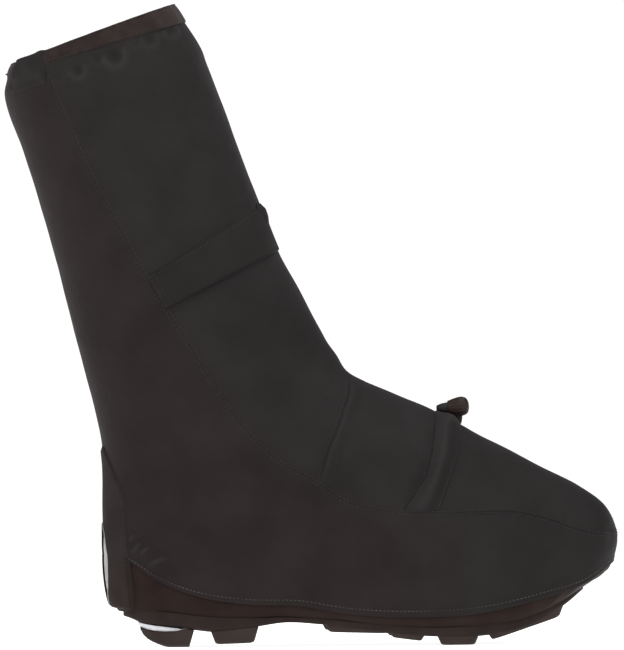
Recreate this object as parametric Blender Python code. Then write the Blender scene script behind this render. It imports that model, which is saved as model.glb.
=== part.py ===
# Tall cycling overshoe for the right foot, standing on its own lugged sole.
# Metres, +Z up, toe towards +X, outer side towards -Y. Along the foot x is counted from the
# back of the heel, and place() moves the origin to the flat of the rear heel lug.
import math
from collections import namedtuple

import bpy
import numpy as np

# Driving dimensions
UPPER_WALL = 0.0015
RAND_WALL = 0.0014
GAP = 0.0003
COLUMNS = 44
TOE_SWING = 0.007
SWING_START = 0.090
FOOT_LENGTH = 0.303
WAIST_PINCH = 0.006
WAIST_X = 0.125
WAIST_REACH = 0.050
HEEL_REST_X = 0.0435

# Sections of the last from the stitched hem to the collar. Each ring runs from a point on the
# back outline to a point on the front outline. dip is the share of the hem's own sag that it has.
Ring = namedtuple(
    "Ring", "back_x back_z front_x front_z lateral medial widest back_power front_power dip"
)
RINGS = (
    Ring(0.0022, 0.054, 0.3025, 0.048, 0.0530, 0.0540, 0.66, 2.70, 2.35, 1.00),
    Ring(0.0020, 0.060, 0.3047, 0.062, 0.0540, 0.0550, 0.65, 2.70, 2.30, 0.80),
    Ring(0.0020, 0.066, 0.2985, 0.079, 0.0530, 0.0540, 0.63, 2.60, 2.25, 0.62),
    Ring(0.0020, 0.073, 0.2830, 0.092, 0.0510, 0.0520, 0.60, 2.50, 2.20, 0.47),
    Ring(0.0020, 0.081, 0.2610, 0.103, 0.0490, 0.0500, 0.56, 2.45, 2.15, 0.34),
    Ring(0.0020, 0.090, 0.2340, 0.1175, 0.0470, 0.0475, 0.51, 2.40, 2.10, 0.23),
    Ring(0.0020, 0.100, 0.2050, 0.132, 0.0450, 0.0455, 0.46, 2.30, 2.10, 0.14),
    Ring(0.0018, 0.108, 0.1770, 0.1465, 0.0440, 0.0440, 0.43, 2.25, 2.05, 0.07),
    Ring(0.0012, 0.114, 0.1550, 0.156, 0.0435, 0.0435, 0.42, 2.20, 2.05, 0.03),
    Ring(0.0007, 0.119, 0.1440, 0.162, 0.0430, 0.0430, 0.42, 2.20, 2.05, 0.00),
    Ring(-0.0010, 0.130, 0.1300, 0.187, 0.0435, 0.0435, 0.43, 2.15, 2.05, 0.00),
    Ring(-0.0045, 0.146, 0.1170, 0.212, 0.0445, 0.0445, 0.45, 2.15, 2.05, 0.00),
    Ring(-0.0110, 0.172, 0.1060, 0.233, 0.0460, 0.0460, 0.47, 2.10, 2.05, 0.00),
    Ring(-0.0180, 0.200, 0.0955, 0.260, 0.0470, 0.0470, 0.48, 2.10, 2.05, 0.00),
    Ring(-0.0260, 0.232, 0.0845, 0.290, 0.0480, 0.0480, 0.49, 2.10, 2.05, 0.00),
    Ring(-0.0350, 0.264, 0.0745, 0.318, 0.0490, 0.0490, 0.50, 2.10, 2.05, 0.00),
    Ring(-0.0435, 0.292, 0.0655, 0.342, 0.0500, 0.0500, 0.50, 2.10, 2.10, 0.00),
    Ring(-0.0545, 0.328, 0.0595, 0.357, 0.0510, 0.0510, 0.50, 2.10, 2.10, 0.00),
    Ring(-0.0522, 0.337, 0.0525, 0.368, 0.0495, 0.0495, 0.50, 2.10, 2.10, 0.00),
    Ring(-0.0500, 0.3435, 0.0462, 0.378, 0.0480, 0.0480, 0.50, 2.10, 2.10, 0.00),
)
NECK, COLLAR = len(RINGS) - 2, len(RINGS) - 1
STRAP_LOW, STRAP_TOP = 12, 13

# The rand turns under the foot and ends at this outline, on the sole plate
SOLE_RING = Ring(0.010, 0.0, 0.2925, 0.0, 0.0465, 0.0475, 0.66, 2.60, 2.30, 1.00)
PLATE_SHARE = 0.45
PLATE_BACK, PLATE_FRONT = 0.0120, 0.2845

# Height of the stitched hem along the foot
Hem = namedtuple("Hem", "x z")
HEM = (
    Hem(0.0022, 0.0540),
    Hem(0.0140, 0.0520),
    Hem(0.0340, 0.0390),
    Hem(0.0580, 0.0296),
    Hem(0.0870, 0.0250),
    Hem(0.1170, 0.0238),
    Hem(0.1430, 0.0192),
    Hem(0.1870, 0.0165),
    Hem(0.2230, 0.0185),
    Hem(0.2580, 0.0264),
    Hem(0.2880, 0.0370),
    Hem(0.3025, 0.0480),
)

# Side view of the sole plate: heel, arch, ball and toe spring
Station = namedtuple("Station", "x top bottom")
STATIONS = (
    Station(0.0060, 0.0216, 0.0205),
    Station(0.0132, 0.0213, 0.0184),
    Station(0.0182, 0.0211, 0.0166),
    Station(0.0212, 0.0210, 0.0152),
    Station(0.0300, 0.0205, 0.0132),
    Station(0.0400, 0.0197, 0.0119),
    Station(0.0550, 0.0178, 0.0098),
    Station(0.0660, 0.0168, 0.0086),
    Station(0.0910, 0.0158, 0.0108),
    Station(0.1080, 0.0158, 0.0128),
    Station(0.1280, 0.0150, 0.0118),
    Station(0.1700, 0.0108, 0.0068),
    Station(0.2050, 0.0094, 0.0046),
    Station(0.2270, 0.0108, 0.0052),
    Station(0.2520, 0.0160, 0.0104),
    Station(0.2750, 0.0275, 0.0242),
    Station(0.2845, 0.0337, 0.0318),
    Station(0.2980, 0.0405, 0.0385),
)

# Lug pairs: reach of the foot face along x, and how far the inner-side lug is set back
Lug = namedtuple("Lug", "back front low_back low_front set_back")
LUGS = (
    Lug(0.0640, 0.0905, 0.0016, 0.0024, 0.0040),
    Lug(0.1330, 0.1675, 0.0082, 0.0072, 0.0020),
    Lug(0.1705, 0.1885, 0.0048, 0.0024, 0.0020),
    Lug(0.1990, 0.2200, 0.0, 0.0, 0.0),
    Lug(0.2290, 0.2700, 0.0024, 0.0158, 0.0),
)
LUG_INNER_Y = 0.013
LUG_DRAFT = 0.0016
LUG_INSET = 0.0010
LUG_ROOT = 0.0016
PLATE_EDGE = 0.0012
PLATE_STATIONS = 34

# Rear heel lug and the pale wedge above it, from the back to the front along the heel
HeelCut = namedtuple("HeelCut", "x lug_low lug_top")
HEEL_CUTS = (
    HeelCut(0.0226, 0.0106, 0.0122),
    HeelCut(0.0244, 0.0074, 0.0113),
    HeelCut(0.0268, 0.0050, 0.0104),
    HeelCut(0.0298, 0.0032, 0.0097),
    HeelCut(0.0338, 0.0015, 0.0093),
    HeelCut(0.0372, 0.0004, 0.0092),
    HeelCut(0.0395, 0.0, 0.0092),
    HeelCut(0.0435, 0.0, 0.0094),
    HeelCut(0.0470, 0.0, 0.0098),
)
HEEL_TOE = HeelCut(0.0508, 0.0, 0.0103)
HEEL_FACE_X = 0.0540
HEEL_FACE_LOW = 0.0060
WEDGE_BACK, WEDGE_TIP = 0.0214, 0.0130
HEEL_INSET = 0.0015

# Overlays on the upper: how far each stands off, and its outline from the side
PANEL_WALL = 0.0010
STRIP_WALL = 0.0008
STRAP_WALL = 0.0015
TUNNEL_WALL = 0.0019
PLEAT_WALL = 0.0011
BINDING_WALL = 0.0009
TAB_WALL = 0.0011
PANEL_EDGE = (
    (0.0182, 0.0228),
    (0.0160, 0.038),
    (0.0142, 0.060),
    (0.0130, 0.085),
    (0.0113, 0.097),
    (0.0076, 0.109),
    (0.0033, 0.121),
    (-0.0030, 0.127),
)
STRIP_HALF_WIDTH = 0.0130
STRIP_LOW, STRIP_TOP = 0.027, 0.072
STRAP_END = ((0.0400, 0.198), (0.0270, 0.2235))
TUNNEL_BACK = ((0.1793, 0.0797), (0.1925, 0.0984), (0.1986, 0.1137), (0.2014, 0.1260), (0.2012, 0.150))
TUNNEL_FRONT = ((0.2006, 0.0807), (0.2048, 0.0924), (0.2105, 0.1095), (0.2125, 0.1240), (0.2118, 0.150))
PLEAT_LINE = ((0.1285, 0.0933), (0.1355, 0.1209), (0.1416, 0.1444), (0.1475, 0.170))
PLEAT_WIDTH = 0.0045

# Cord lock on top of the instep tunnel
LOCK_MOUTH = (0.2052, 0.1393)
LOCK_TILT = math.radians(5)
LOCK_SIDES = 16
LOCK_BODY = (
    (0.0000, 0.0062),
    (0.0029, 0.0062),
    (0.0029, 0.0000),
    (0.0036, 0.0000),
    (0.0040, 0.0008),
    (0.0053, 0.0068),
    (0.0054, 0.0084),
    (0.0050, 0.0104),
    (0.0034, 0.0120),
    (0.0000, 0.0126),
)
LOCK_PLUNGER = (
    (0.0000, -0.0068),
    (0.0017, -0.0066),
    (0.0025, -0.0058),
    (0.0025, 0.0022),
    (0.0022, 0.0025),
    (0.0000, 0.0025),
)
CORD_HALF_WIDTH, CORD_HALF_DEPTH = 0.0026, 0.0012
CORD_ROUTE = ((0.2108, 0.1342, -8), (0.2108, 0.1332, -17), (0.2108, 0.1320, -27))
CORD_SIDES = 12


def smooth(knots, values, query):
    """Cubic through the table's rows, with slopes taken from the neighbouring rows."""
    knots, values = np.asarray(knots, float), np.asarray(values, float)
    query = np.clip(query, knots[0], knots[-1])
    step = np.diff(knots)
    shape = (-1,) + (1,) * (values.ndim - 1)
    slope = np.diff(values, axis=0) / step.reshape(shape)
    before, after = step[:-1].reshape(shape), step[1:].reshape(shape)
    middle = (slope[:-1] * after + slope[1:] * before) / (before + after)
    tangent = np.concatenate([slope[:1], middle, slope[-1:]])
    i = np.clip(np.searchsorted(knots, query, side="right") - 1, 0, len(step) - 1)
    span = step[i]
    t = (query - knots[i]) / span
    pad = (...,) + (None,) * (values.ndim - 1)
    t, span = t[pad], span[pad]
    return (
        values[i] * (1 + 2 * t) * (1 - t) ** 2
        + values[i + 1] * t * t * (3 - 2 * t)
        + span * tangent[i] * t * (1 - t) ** 2
        - span * tangent[i + 1] * t * t * (1 - t)
    )


def rises(rings):
    """Mean distance up the back and front outlines to each ring, which spaces the sections."""
    table = np.array(rings)
    back = np.linalg.norm(np.diff(table[:, 0:2], axis=0), axis=1)
    front = np.linalg.norm(np.diff(table[:, 2:4], axis=0), axis=1)
    return np.concatenate([[0.0], np.cumsum((back + front) / 2)])


RISES = rises(RINGS)


def ring_at(row):
    """The ring's sizes at any row number, whole or between two rows of the table."""
    rise = np.interp(row, np.arange(len(RINGS)), RISES)
    return Ring(*np.moveaxis(smooth(RISES, np.array(RINGS), rise), -1, 0))


def hem_height(x):
    return smooth([h.x for h in HEM], [h.z for h in HEM], x)


def station_height(x, side):
    return smooth([s.x for s in STATIONS], [getattr(s, side) for s in STATIONS], x)


def centre_line(x):
    """The last curves inwards, towards +Y, from the arch to the toe."""
    ahead = np.maximum(x - SWING_START, 0) / (FOOT_LENGTH - SWING_START)
    return TOE_SWING * ahead**2


def ring_plan(ring, phi):
    """x and y round one ring: a superellipse, fuller at heel and toe, pinched at the arch."""
    c, s = np.cos(phi), np.sin(phi)
    power = np.where(c >= 0, ring.front_power, ring.back_power)
    reach = np.abs(c) ** (2 / power)
    along = np.where(c >= 0, ring.widest + (1 - ring.widest) * reach, ring.widest * (1 - reach))
    x = ring.back_x + along * (ring.front_x - ring.back_x)
    pinch = WAIST_PINCH * ring.dip * np.exp(-(((x - WAIST_X) / WAIST_REACH) ** 2))
    half = np.where(s >= 0, ring.medial - pinch, ring.lateral - pinch / 3)
    return along, x, half * np.sign(s) * np.abs(s) ** (2 / power) + centre_line(x)


def wall(phi, row):
    """The upper between hem and collar: a ring along its chord, sagging with the hem."""
    ring = ring_at(row)
    along, x, y = ring_plan(ring, phi)
    hem = RINGS[0]
    hem_x = hem.back_x + along * (hem.front_x - hem.back_x)
    hem_chord = hem.back_z + along * (hem.front_z - hem.back_z)
    sag = ring.dip * (hem_height(hem_x) - hem_chord)
    z = ring.back_z + along * (ring.front_z - ring.back_z) + sag
    return np.stack([x, y, z], axis=-1)


def skirt(phi, drop):
    """Below the hem: a quarter ellipse from the hem, drop 0, turning under to the sole, drop 1."""
    top = wall(phi, np.zeros_like(phi))
    _, foot_x, foot_y = ring_plan(SOLE_RING, phi)
    turn = np.cos(drop * np.pi / 2)
    fall = np.sin(drop * np.pi / 2)
    x = foot_x + (top[..., 0] - foot_x) * turn
    y = foot_y + (top[..., 1] - foot_y) * turn
    foot_z = station_height(x, "top") - UPPER_WALL - GAP
    z = top[..., 2] + (foot_z - top[..., 2]) * fall
    return np.stack([x, y, z], axis=-1)


def form(phi, row):
    """One surface for the whole boot: rows above zero are wall, rows down to -1 are skirt."""
    low = skirt(phi, np.clip(-row, 0, 1))
    high = wall(phi, np.maximum(row, 0))
    return np.where((row < 0)[..., None], low, high)


def lattice(rows, columns, offset):
    """Grid of points on the form, moved outwards by offset along the surface's normals."""
    phi, row = np.meshgrid(columns, rows)
    nudge = 1e-3
    lift = np.clip(row + nudge, -1, COLLAR), np.clip(row - nudge, -1, COLLAR)
    around = form(phi + nudge, row) - form(phi - nudge, row)
    upwards = form(phi, lift[0]) - form(phi, lift[1])
    normal = np.cross(around, upwards)
    normal /= np.linalg.norm(normal, axis=-1, keepdims=True)
    return form(phi, row) + offset * normal


def columns_between(first, last):
    """Columns of the shared grid, counted from the toe round the inner side to the heel."""
    return np.arange(first, last + 1) * 2 * np.pi / COLUMNS


ALL_COLUMNS = columns_between(0, COLUMNS - 1)
SKIRT_ROWS = [-1.0, -0.8, -0.6, -0.4, -0.2]
WALL_ROWS = [0, 0.5, 1, 1.5, 2, 2.5, 3, 3.5, 4, 5, 6, 7, 8, 8.5, 9, 9.5]
WALL_ROWS += [10, 11, 12, 12.5, 13, 14, 15, 16, 17, 18, 19]


def rows_between(low, high):
    return [r for r in SKIRT_ROWS + WALL_ROWS if low <= r <= high]


def place(points):
    """From heel-based places to the frame whose origin is on the heel lug."""
    return np.asarray(points, float) - np.array([HEEL_REST_X, 0.0, 0.0])


def grid_faces(rows, cols, wrap):
    """Triangles of a grid of points, all split along the same diagonal."""
    faces = []
    for r in range(rows - 1):
        for c in range(cols if wrap else cols - 1):
            n = (c + 1) % cols
            a, b = r * cols + c, r * cols + n
            d, e = (r + 1) * cols + c, (r + 1) * cols + n
            faces += [(a, b, e), (a, e, d)]
    return faces


def material(name, color, roughness, metallic=0.0):
    m = bpy.data.materials.new(name)
    m.use_nodes = True
    shader = m.node_tree.nodes["Principled BSDF"]
    shader.inputs["Base Color"].default_value = (*color, 1)
    shader.inputs["Roughness"].default_value = roughness
    shader.inputs["Metallic"].default_value = metallic
    return m


def add_object(name, points, faces, finish, rounded=True):
    mesh = bpy.data.meshes.new(name)
    mesh.from_pydata([tuple(p) for p in place(points)], [], faces)
    mesh.update()
    if rounded:
        mesh.shade_smooth()
        mesh.set_sharp_from_angle(angle=math.radians(40))
    obj = bpy.data.objects.new(name, mesh)
    bpy.context.scene.collection.objects.link(obj)
    if finish is None:
        obj.hide_render = True
        obj.display_type = "WIRE"
    else:
        mesh.materials.append(finish)
    return obj


def skin(rows, columns, inner, outer, wrap):
    """Closed solid between two offsets of the form over the same grid."""
    r, c = len(rows), len(columns)
    points = np.concatenate(
        [lattice(rows, columns, outer).reshape(-1, 3), lattice(rows, columns, inner).reshape(-1, 3)]
    )
    n = r * c
    faces = grid_faces(r, c, wrap)
    faces += [tuple(n + i for i in reversed(f)) for f in grid_faces(r, c, wrap)]
    edge = list(range(c)) + [c * k + c - 1 for k in range(1, r)]
    edge += [n - 1 - k for k in range(1, c)] + [c * k for k in range(r - 2, 0, -1)]
    loops = [edge + edge[:1]]
    if wrap:
        bottom, top = list(range(c)), [n - 1 - k for k in range(c)]
        loops = [bottom + bottom[:1], top + top[:1]]
    for loop in loops:
        for a, b in zip(loop, loop[1:]):
            faces += [(b, a, n + a), (b, n + a, n + b)]
    return points, faces


def prism(name, outline, low_y, high_y):
    """Cutter: an outline seen from the side, carried across the foot along Y."""
    n = len(outline)
    area = sum(a[0] * b[1] - b[0] * a[1] for a, b in zip(outline, outline[1:] + outline[:1]))
    ring = list(outline) if area > 0 else list(reversed(outline))
    points = [(x, low_y, z) for x, z in ring] + [(x, high_y, z) for x, z in ring]
    faces = [tuple(range(n)), tuple(range(2 * n - 1, n - 1, -1))]
    for i in range(n):
        k = (i + 1) % n
        faces.append((i, n + i, n + k, k))
    return add_object(name, points, faces, None, rounded=False)


def combine(obj, other, operation):
    modifier = obj.modifiers.new(operation.lower(), "BOOLEAN")
    modifier.operation = operation
    modifier.solver = "EXACT"
    modifier.object = other


def overlay(name, rows, columns, stand_off, thickness, outline, finish, half_width=0.08):
    """A piece of cloth on the upper: the space between two offsets, cut to its side outline."""
    points, faces = skin(rows, columns, stand_off, stand_off + thickness, wrap=False)
    obj = add_object(name, points, faces, finish)
    combine(obj, prism(name + "_outline", outline, -half_width, half_width), "INTERSECT")
    return obj


def between_rings(a, b, share):
    return Ring(*(p + (q - p) * share for p, q in zip(a, b)))


PLATE_RING = between_rings(SOLE_RING, RINGS[0], PLATE_SHARE)._replace(
    back_x=PLATE_BACK, front_x=PLATE_FRONT
)


def plate_sides(x):
    """y of the sole plate's outer and inner edge at x."""
    ring = PLATE_RING
    along = (x - ring.back_x) / (ring.front_x - ring.back_x)
    ahead = along >= ring.widest
    power = np.where(ahead, ring.front_power, ring.back_power)
    room = np.where(ahead, 1 - ring.widest, ring.widest)
    part = np.clip(np.abs(along - ring.widest) / room, 0, 1)
    full = (1 - part**power) ** (1 / power)
    pinch = WAIST_PINCH * np.exp(-(((x - WAIST_X) / WAIST_REACH) ** 2))
    middle = centre_line(x)
    return middle - full * (ring.lateral - pinch / 3), middle + full * (ring.medial - pinch)


def loft(sections):
    """Closed solid through sections that all have the same number of points, from back to front."""
    count = len(sections[0])
    points = [p for section in sections for p in section]
    faces = []
    for k in range(len(sections) - 1):
        for i in range(count):
            n = (i + 1) % count
            a, b = k * count + i, k * count + n
            faces.append((a, b, b + count))
            faces.append((a, b + count, a + count))
    last = (len(sections) - 1) * count
    faces.append(tuple(reversed(range(count))))
    faces.append(tuple(last + i for i in range(count)))
    return points, faces


def bar(x, left, right, low, top, edge):
    """Section of a slab across the foot, with its lower edges cut off."""
    return [
        (x, left, top),
        (x, left, low + edge),
        (x, left + edge, low),
        (x, right - edge, low),
        (x, right, low + edge),
        (x, right, top),
    ]


def plate_solid():
    ends = PLATE_RING.back_x + 0.0012, PLATE_RING.front_x - 0.0012
    sweep = (1 - np.cos(np.linspace(0, np.pi, PLATE_STATIONS))) / 2
    sections = []
    for x in ends[0] + (ends[1] - ends[0]) * sweep:
        left, right = plate_sides(x)
        low, top = station_height(x, "bottom"), station_height(x, "top") - GAP
        sections.append(bar(x, left, right, low, top, PLATE_EDGE))
    return loft(sections)


def lug_solid(lug, side):
    """One lug on the outer side, -1, or the inner side, +1, tapering to its foot face."""
    shift = lug.set_back if side > 0 else 0.0
    grow = LUG_DRAFT
    places = np.linspace(lug.back - shift, lug.front - shift, 4)
    rows = [(places[0] - grow, 0.0)] + [(x, 1.0) for x in places] + [(places[-1] + grow, 0.0)]
    sections = []
    for x, deep in rows:
        outer = plate_sides(x)[0 if side < 0 else 1] - side * LUG_INSET
        inner = centre_line(x) + side * LUG_INNER_Y
        root = station_height(x, "bottom") + LUG_ROOT
        share = (x - places[0]) / (places[-1] - places[0])
        foot = lug.low_back + share * (lug.low_front - lug.low_back)
        low = foot if deep else station_height(x, "bottom") + LUG_ROOT / 2
        tuck = side * LUG_DRAFT * deep
        quad = [(x, outer, root), (x, outer - tuck, low), (x, inner + tuck, low), (x, inner, root)]
        sections.append(quad if side < 0 else list(reversed(quad)))
    return loft(sections)


def heel_lug_solid():
    sections = []
    for cut in HEEL_CUTS:
        sections.append((cut.x, cut.lug_low, cut.lug_top))
    under = station_height(HEEL_TOE.x, "bottom") - GAP
    last = HEEL_CUTS[-1]
    sections.append((last.x + GAP, last.lug_low, last.lug_top))
    sections.append((last.x + 2 * GAP, last.lug_low, under))
    sections.append((HEEL_TOE.x, HEEL_TOE.lug_low, under))
    sections.append((HEEL_FACE_X, HEEL_FACE_LOW, station_height(HEEL_FACE_X, "bottom") - GAP))
    bars = []
    for x, low, top in sections:
        left, right = plate_sides(x)
        bars.append(bar(x, left + HEEL_INSET, right - HEEL_INSET, low, top, PLATE_EDGE))
    return loft(bars)


def wedge_solid():
    """Pale wedge between plate and rear lug, over the same cuts as the lug's own top."""
    cuts = [(WEDGE_BACK, WEDGE_TIP)] + [(c.x, c.lug_top) for c in HEEL_CUTS]
    bars = []
    for x, lug_top in cuts:
        left, right = plate_sides(x)
        top = station_height(x, "bottom") - GAP
        edge = PLATE_EDGE / 4
        bars.append(bar(x, left + 2 * HEEL_INSET, right - 2 * HEEL_INSET, lug_top + GAP, top, edge))
    return loft(bars)


def binding_solid():
    """Elastic folded over the collar's edge: an upside-down channel round the top of the shaft."""
    rows = [NECK, COLLAR]
    near, far = GAP, GAP + BINDING_WALL
    outer, outer_face = lattice(rows, ALL_COLUMNS, near), lattice(rows, ALL_COLUMNS, far)
    inner = lattice(rows, ALL_COLUMNS, -UPPER_WALL - near)
    inner_face = lattice(rows, ALL_COLUMNS, -UPPER_WALL - far)
    up = outer[1] - outer[0]
    up /= np.linalg.norm(up, axis=-1, keepdims=True)
    rings = [
        outer[0],
        outer_face[0],
        outer_face[1] + up * far,
        inner_face[1] + up * far,
        inner_face[0],
        inner[0],
        inner[1] + up * near,
        outer[1] + up * near,
    ]
    rings.append(rings[0])
    points = np.concatenate(rings[:-1])
    faces = []
    for k in range(len(rings) - 1):
        for f in grid_faces(2, COLUMNS, wrap=True):
            faces.append(tuple((k * COLUMNS + i) % len(points) for i in f))
    return points, faces


def lock_axes():
    along = np.array([math.cos(LOCK_TILT), 0.0, math.sin(LOCK_TILT)])
    across = np.array([0.0, 1.0, 0.0])
    return along, across, np.cross(along, across)


def turned(profile, sides):
    """Solid turned about the cord lock's axis. Both ends of the profile lie on the axis."""
    along, across, up = lock_axes()
    mouth = np.array([LOCK_MOUTH[0], centre_line(LOCK_MOUTH[0]), LOCK_MOUTH[1]])
    angles = np.arange(sides) * 2 * np.pi / sides
    points = [mouth + along * profile[0][1]]
    for radius, reach in profile[1:-1]:
        for a in angles:
            points.append(mouth + along * reach + radius * (across * math.cos(a) + up * math.sin(a)))
    points.append(mouth + along * profile[-1][1])
    faces = [(0, 1 + (i + 1) % sides, 1 + i) for i in range(sides)]
    for k in range(len(profile) - 3):
        for i in range(sides):
            a, b = 1 + k * sides + i, 1 + k * sides + (i + 1) % sides
            faces.append((a, b, b + sides, a + sides))
    end, base = len(points) - 1, 1 + (len(profile) - 3) * sides
    faces += [(end, base + i, base + (i + 1) % sides) for i in range(sides)]
    return points, faces


def cord_solid():
    """Short flat cord from the lock down to the tunnel. Its sections tilt from one face to the other."""
    angles = np.arange(CORD_SIDES) * 2 * np.pi / CORD_SIDES
    sections = []
    for x, z, tilt in CORD_ROUTE:
        along = np.array([math.cos(math.radians(tilt)), 0.0, math.sin(math.radians(tilt))]) * CORD_HALF_WIDTH
        across = np.array([0.0, CORD_HALF_DEPTH, 0.0])
        middle = np.array([x, centre_line(x), z])
        sections.append([middle + across * math.cos(a) + along * math.sin(a) for a in angles])
    return loft(sections)


def band_outline(line, width):
    """Outline of a band of the given width along a line seen from the side."""
    points = np.array(line)
    way = np.gradient(points, axis=0)
    way /= np.linalg.norm(way, axis=1, keepdims=True)
    side = np.stack([-way[:, 1], way[:, 0]], axis=1) * width / 2
    return [tuple(p) for p in points + side] + [tuple(p) for p in (points - side)[::-1]]


def build_sole(rubber, grey):
    outsole = add_object("outsole", *plate_solid(), rubber, rounded=False)
    for index, lug in enumerate(LUGS):
        for side, label in ((-1, "outer"), (1, "inner")):
            cutter = add_object(f"lug_{label}_{index}", *lug_solid(lug, side), None, rounded=False)
            combine(outsole, cutter, "UNION")
    add_object("heel_wedge", *wedge_solid(), grey, rounded=False)
    add_object("heel_lug", *heel_lug_solid(), rubber, rounded=False)


def build_upper(fabric, coated, elastic):
    points, faces = skin(rows_between(0, COLLAR), ALL_COLUMNS, -UPPER_WALL, 0.0, wrap=True)
    add_object("upper", points, faces, fabric)
    tuck = UPPER_WALL + GAP
    points, faces = skin(rows_between(-1, 0.5), ALL_COLUMNS, -tuck - RAND_WALL, -tuck, wrap=True)
    add_object("rand", points, faces, coated)
    add_object("collar_binding", *binding_solid(), elastic)


def build_overlays(fabric, slick, reflective, webbing):
    back = COLUMNS // 2
    heel = columns_between(back - 6, back + 6)
    outline = [(-0.05, PANEL_EDGE[0][1])] + list(PANEL_EDGE) + [(-0.05, PANEL_EDGE[-1][1])]
    overlay("heel_panel", rows_between(-0.8, 10), heel, GAP, PANEL_WALL, outline, slick)
    centre = columns_between(back - 2, back + 2)
    outline = [(-0.05, STRIP_LOW), (0.03, STRIP_LOW), (0.03, STRIP_TOP), (-0.05, STRIP_TOP)]
    overlay(
        "back_strip", rows_between(-0.8, 5), centre, 2 * GAP + PANEL_WALL, STRIP_WALL,
        outline, reflective, half_width=STRIP_HALF_WIDTH,
    )
    front = columns_between(-15, 15)
    outline = [STRAP_END[0], (0.15, 0.15), (0.15, 0.30), (STRAP_END[1][0], 0.30), STRAP_END[1]]
    overlay("ankle_strap", rows_between(STRAP_LOW, STRAP_TOP), front, GAP, STRAP_WALL, outline, webbing)
    points, faces = skin(
        rows_between(STRAP_LOW + 0.5, STRAP_TOP), columns_between(-2, 7),
        2 * GAP + STRAP_WALL, 2 * GAP + 2 * STRAP_WALL, wrap=False,
    )
    add_object("strap_tab", points, faces, webbing)
    outline = list(TUNNEL_BACK) + list(reversed(TUNNEL_FRONT))
    overlay("instep_tunnel", rows_between(1, 8), columns_between(-11, 11), GAP, TUNNEL_WALL, outline, fabric)
    outline = band_outline(PLEAT_LINE, PLEAT_WIDTH)
    overlay("vamp_pleat", rows_between(2, 11), columns_between(-11, 11), GAP, PLEAT_WALL, outline, fabric)
    stand_off = 2 * GAP + BINDING_WALL
    points, faces = skin(
        rows_between(NECK - 1, COLLAR), columns_between(-back + 3, -back + 7),
        stand_off, stand_off + TAB_WALL, wrap=False,
    )
    add_object("collar_tab", points, faces, fabric)


def build_lock(plastic, button, cord):
    add_object("lock_body", *turned(LOCK_BODY, LOCK_SIDES), plastic)
    add_object("lock_plunger", *turned(LOCK_PLUNGER, LOCK_SIDES), button)
    add_object("lock_cord", *cord_solid(), cord)


def main():
    for obj in list(bpy.data.objects):
        bpy.data.objects.remove(obj, do_unlink=True)
    fabric = material("fabric", (0.030, 0.028, 0.029), 0.75)
    coated = material("coated_fabric", (0.027, 0.017, 0.014), 0.55)
    slick = material("slick_panel", (0.024, 0.022, 0.023), 0.35)
    build_sole(material("rubber", (0.020, 0.017, 0.016), 0.7), material("grey_foam", (0.55, 0.54, 0.53), 0.7))
    build_upper(fabric, coated, material("elastic", (0.036, 0.023, 0.020), 0.8))
    build_overlays(
        fabric, slick, material("reflective", (0.6, 0.6, 0.6), 0.3), material("webbing", (0.028, 0.026, 0.027), 0.8)
    )
    build_lock(
        material("brown_plastic", (0.034, 0.022, 0.020), 0.45),
        material("grey_plastic", (0.040, 0.040, 0.041), 0.45),
        material("cord", (0.030, 0.026, 0.026), 0.8),
    )


main()
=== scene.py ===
import math

import bpy
import numpy as np
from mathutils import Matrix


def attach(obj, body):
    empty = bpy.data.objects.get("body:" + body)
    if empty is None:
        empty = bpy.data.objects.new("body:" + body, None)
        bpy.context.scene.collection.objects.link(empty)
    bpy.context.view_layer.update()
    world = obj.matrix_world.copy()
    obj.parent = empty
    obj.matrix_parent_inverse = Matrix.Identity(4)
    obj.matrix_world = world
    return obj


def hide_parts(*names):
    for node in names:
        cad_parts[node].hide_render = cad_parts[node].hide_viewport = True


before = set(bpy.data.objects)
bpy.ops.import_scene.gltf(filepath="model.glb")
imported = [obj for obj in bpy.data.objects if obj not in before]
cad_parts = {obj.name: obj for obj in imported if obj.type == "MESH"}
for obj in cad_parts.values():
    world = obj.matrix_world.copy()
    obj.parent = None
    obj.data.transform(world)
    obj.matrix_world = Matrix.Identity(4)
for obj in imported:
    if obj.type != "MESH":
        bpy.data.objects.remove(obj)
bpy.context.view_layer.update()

# Camera: level and side on, far off, rolled a little so that the floor climbs to the right as in the photo
cameraSpec = {
    "lookAt": (0.0821, 0.0, 0.1888), "distance": 9.0, "frameHeight": 0.3835, "roll": math.radians(0.6),
    "sensor": 36.0, "clipEnd": 60.0,
}
cameraData = bpy.data.cameras.new("camera")
cameraData.sensor_width = cameraSpec["sensor"]
cameraData.lens = cameraSpec["sensor"] * cameraSpec["distance"] / cameraSpec["frameHeight"]
cameraData.clip_end = cameraSpec["clipEnd"]
cameraData.dof.use_dof = False
camera = bpy.data.objects.new("camera", cameraData)
camera.location = (cameraSpec["lookAt"][0], -cameraSpec["distance"], cameraSpec["lookAt"][2])
camera.rotation_euler = (math.pi / 2, cameraSpec["roll"], 0.0)
bpy.context.scene.collection.objects.link(camera)
bpy.context.scene.camera = camera
bpy.context.scene.view_settings.view_transform = "Standard"

# Soft studio light: a dim room that is white in a low band round the horizon, and five soft boxes
skyBandSpec = {"From Min": 0.03, "From Max": 0.18, "To Min": 1.06, "To Max": 0.13}  # heights, white and dim
softBoxes = (  # name, place, size, power
    ("boxLeft", (-1.35, -0.85, 1.10), 0.7, 15.0),
    ("boxRight", (1.45, -0.85, 1.10), 0.7, 15.0),
    ("boxFront", (0.10, -1.35, 1.35), 0.6, 12.0),
    ("boxTop", (0.30, 0.10, 1.90), 1.0, 19.0),
    ("boxBack", (-1.50, 0.30, 0.80), 0.9, 4.0),
)
aimPoint = np.array([0.06, 0.0, 0.16])


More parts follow.
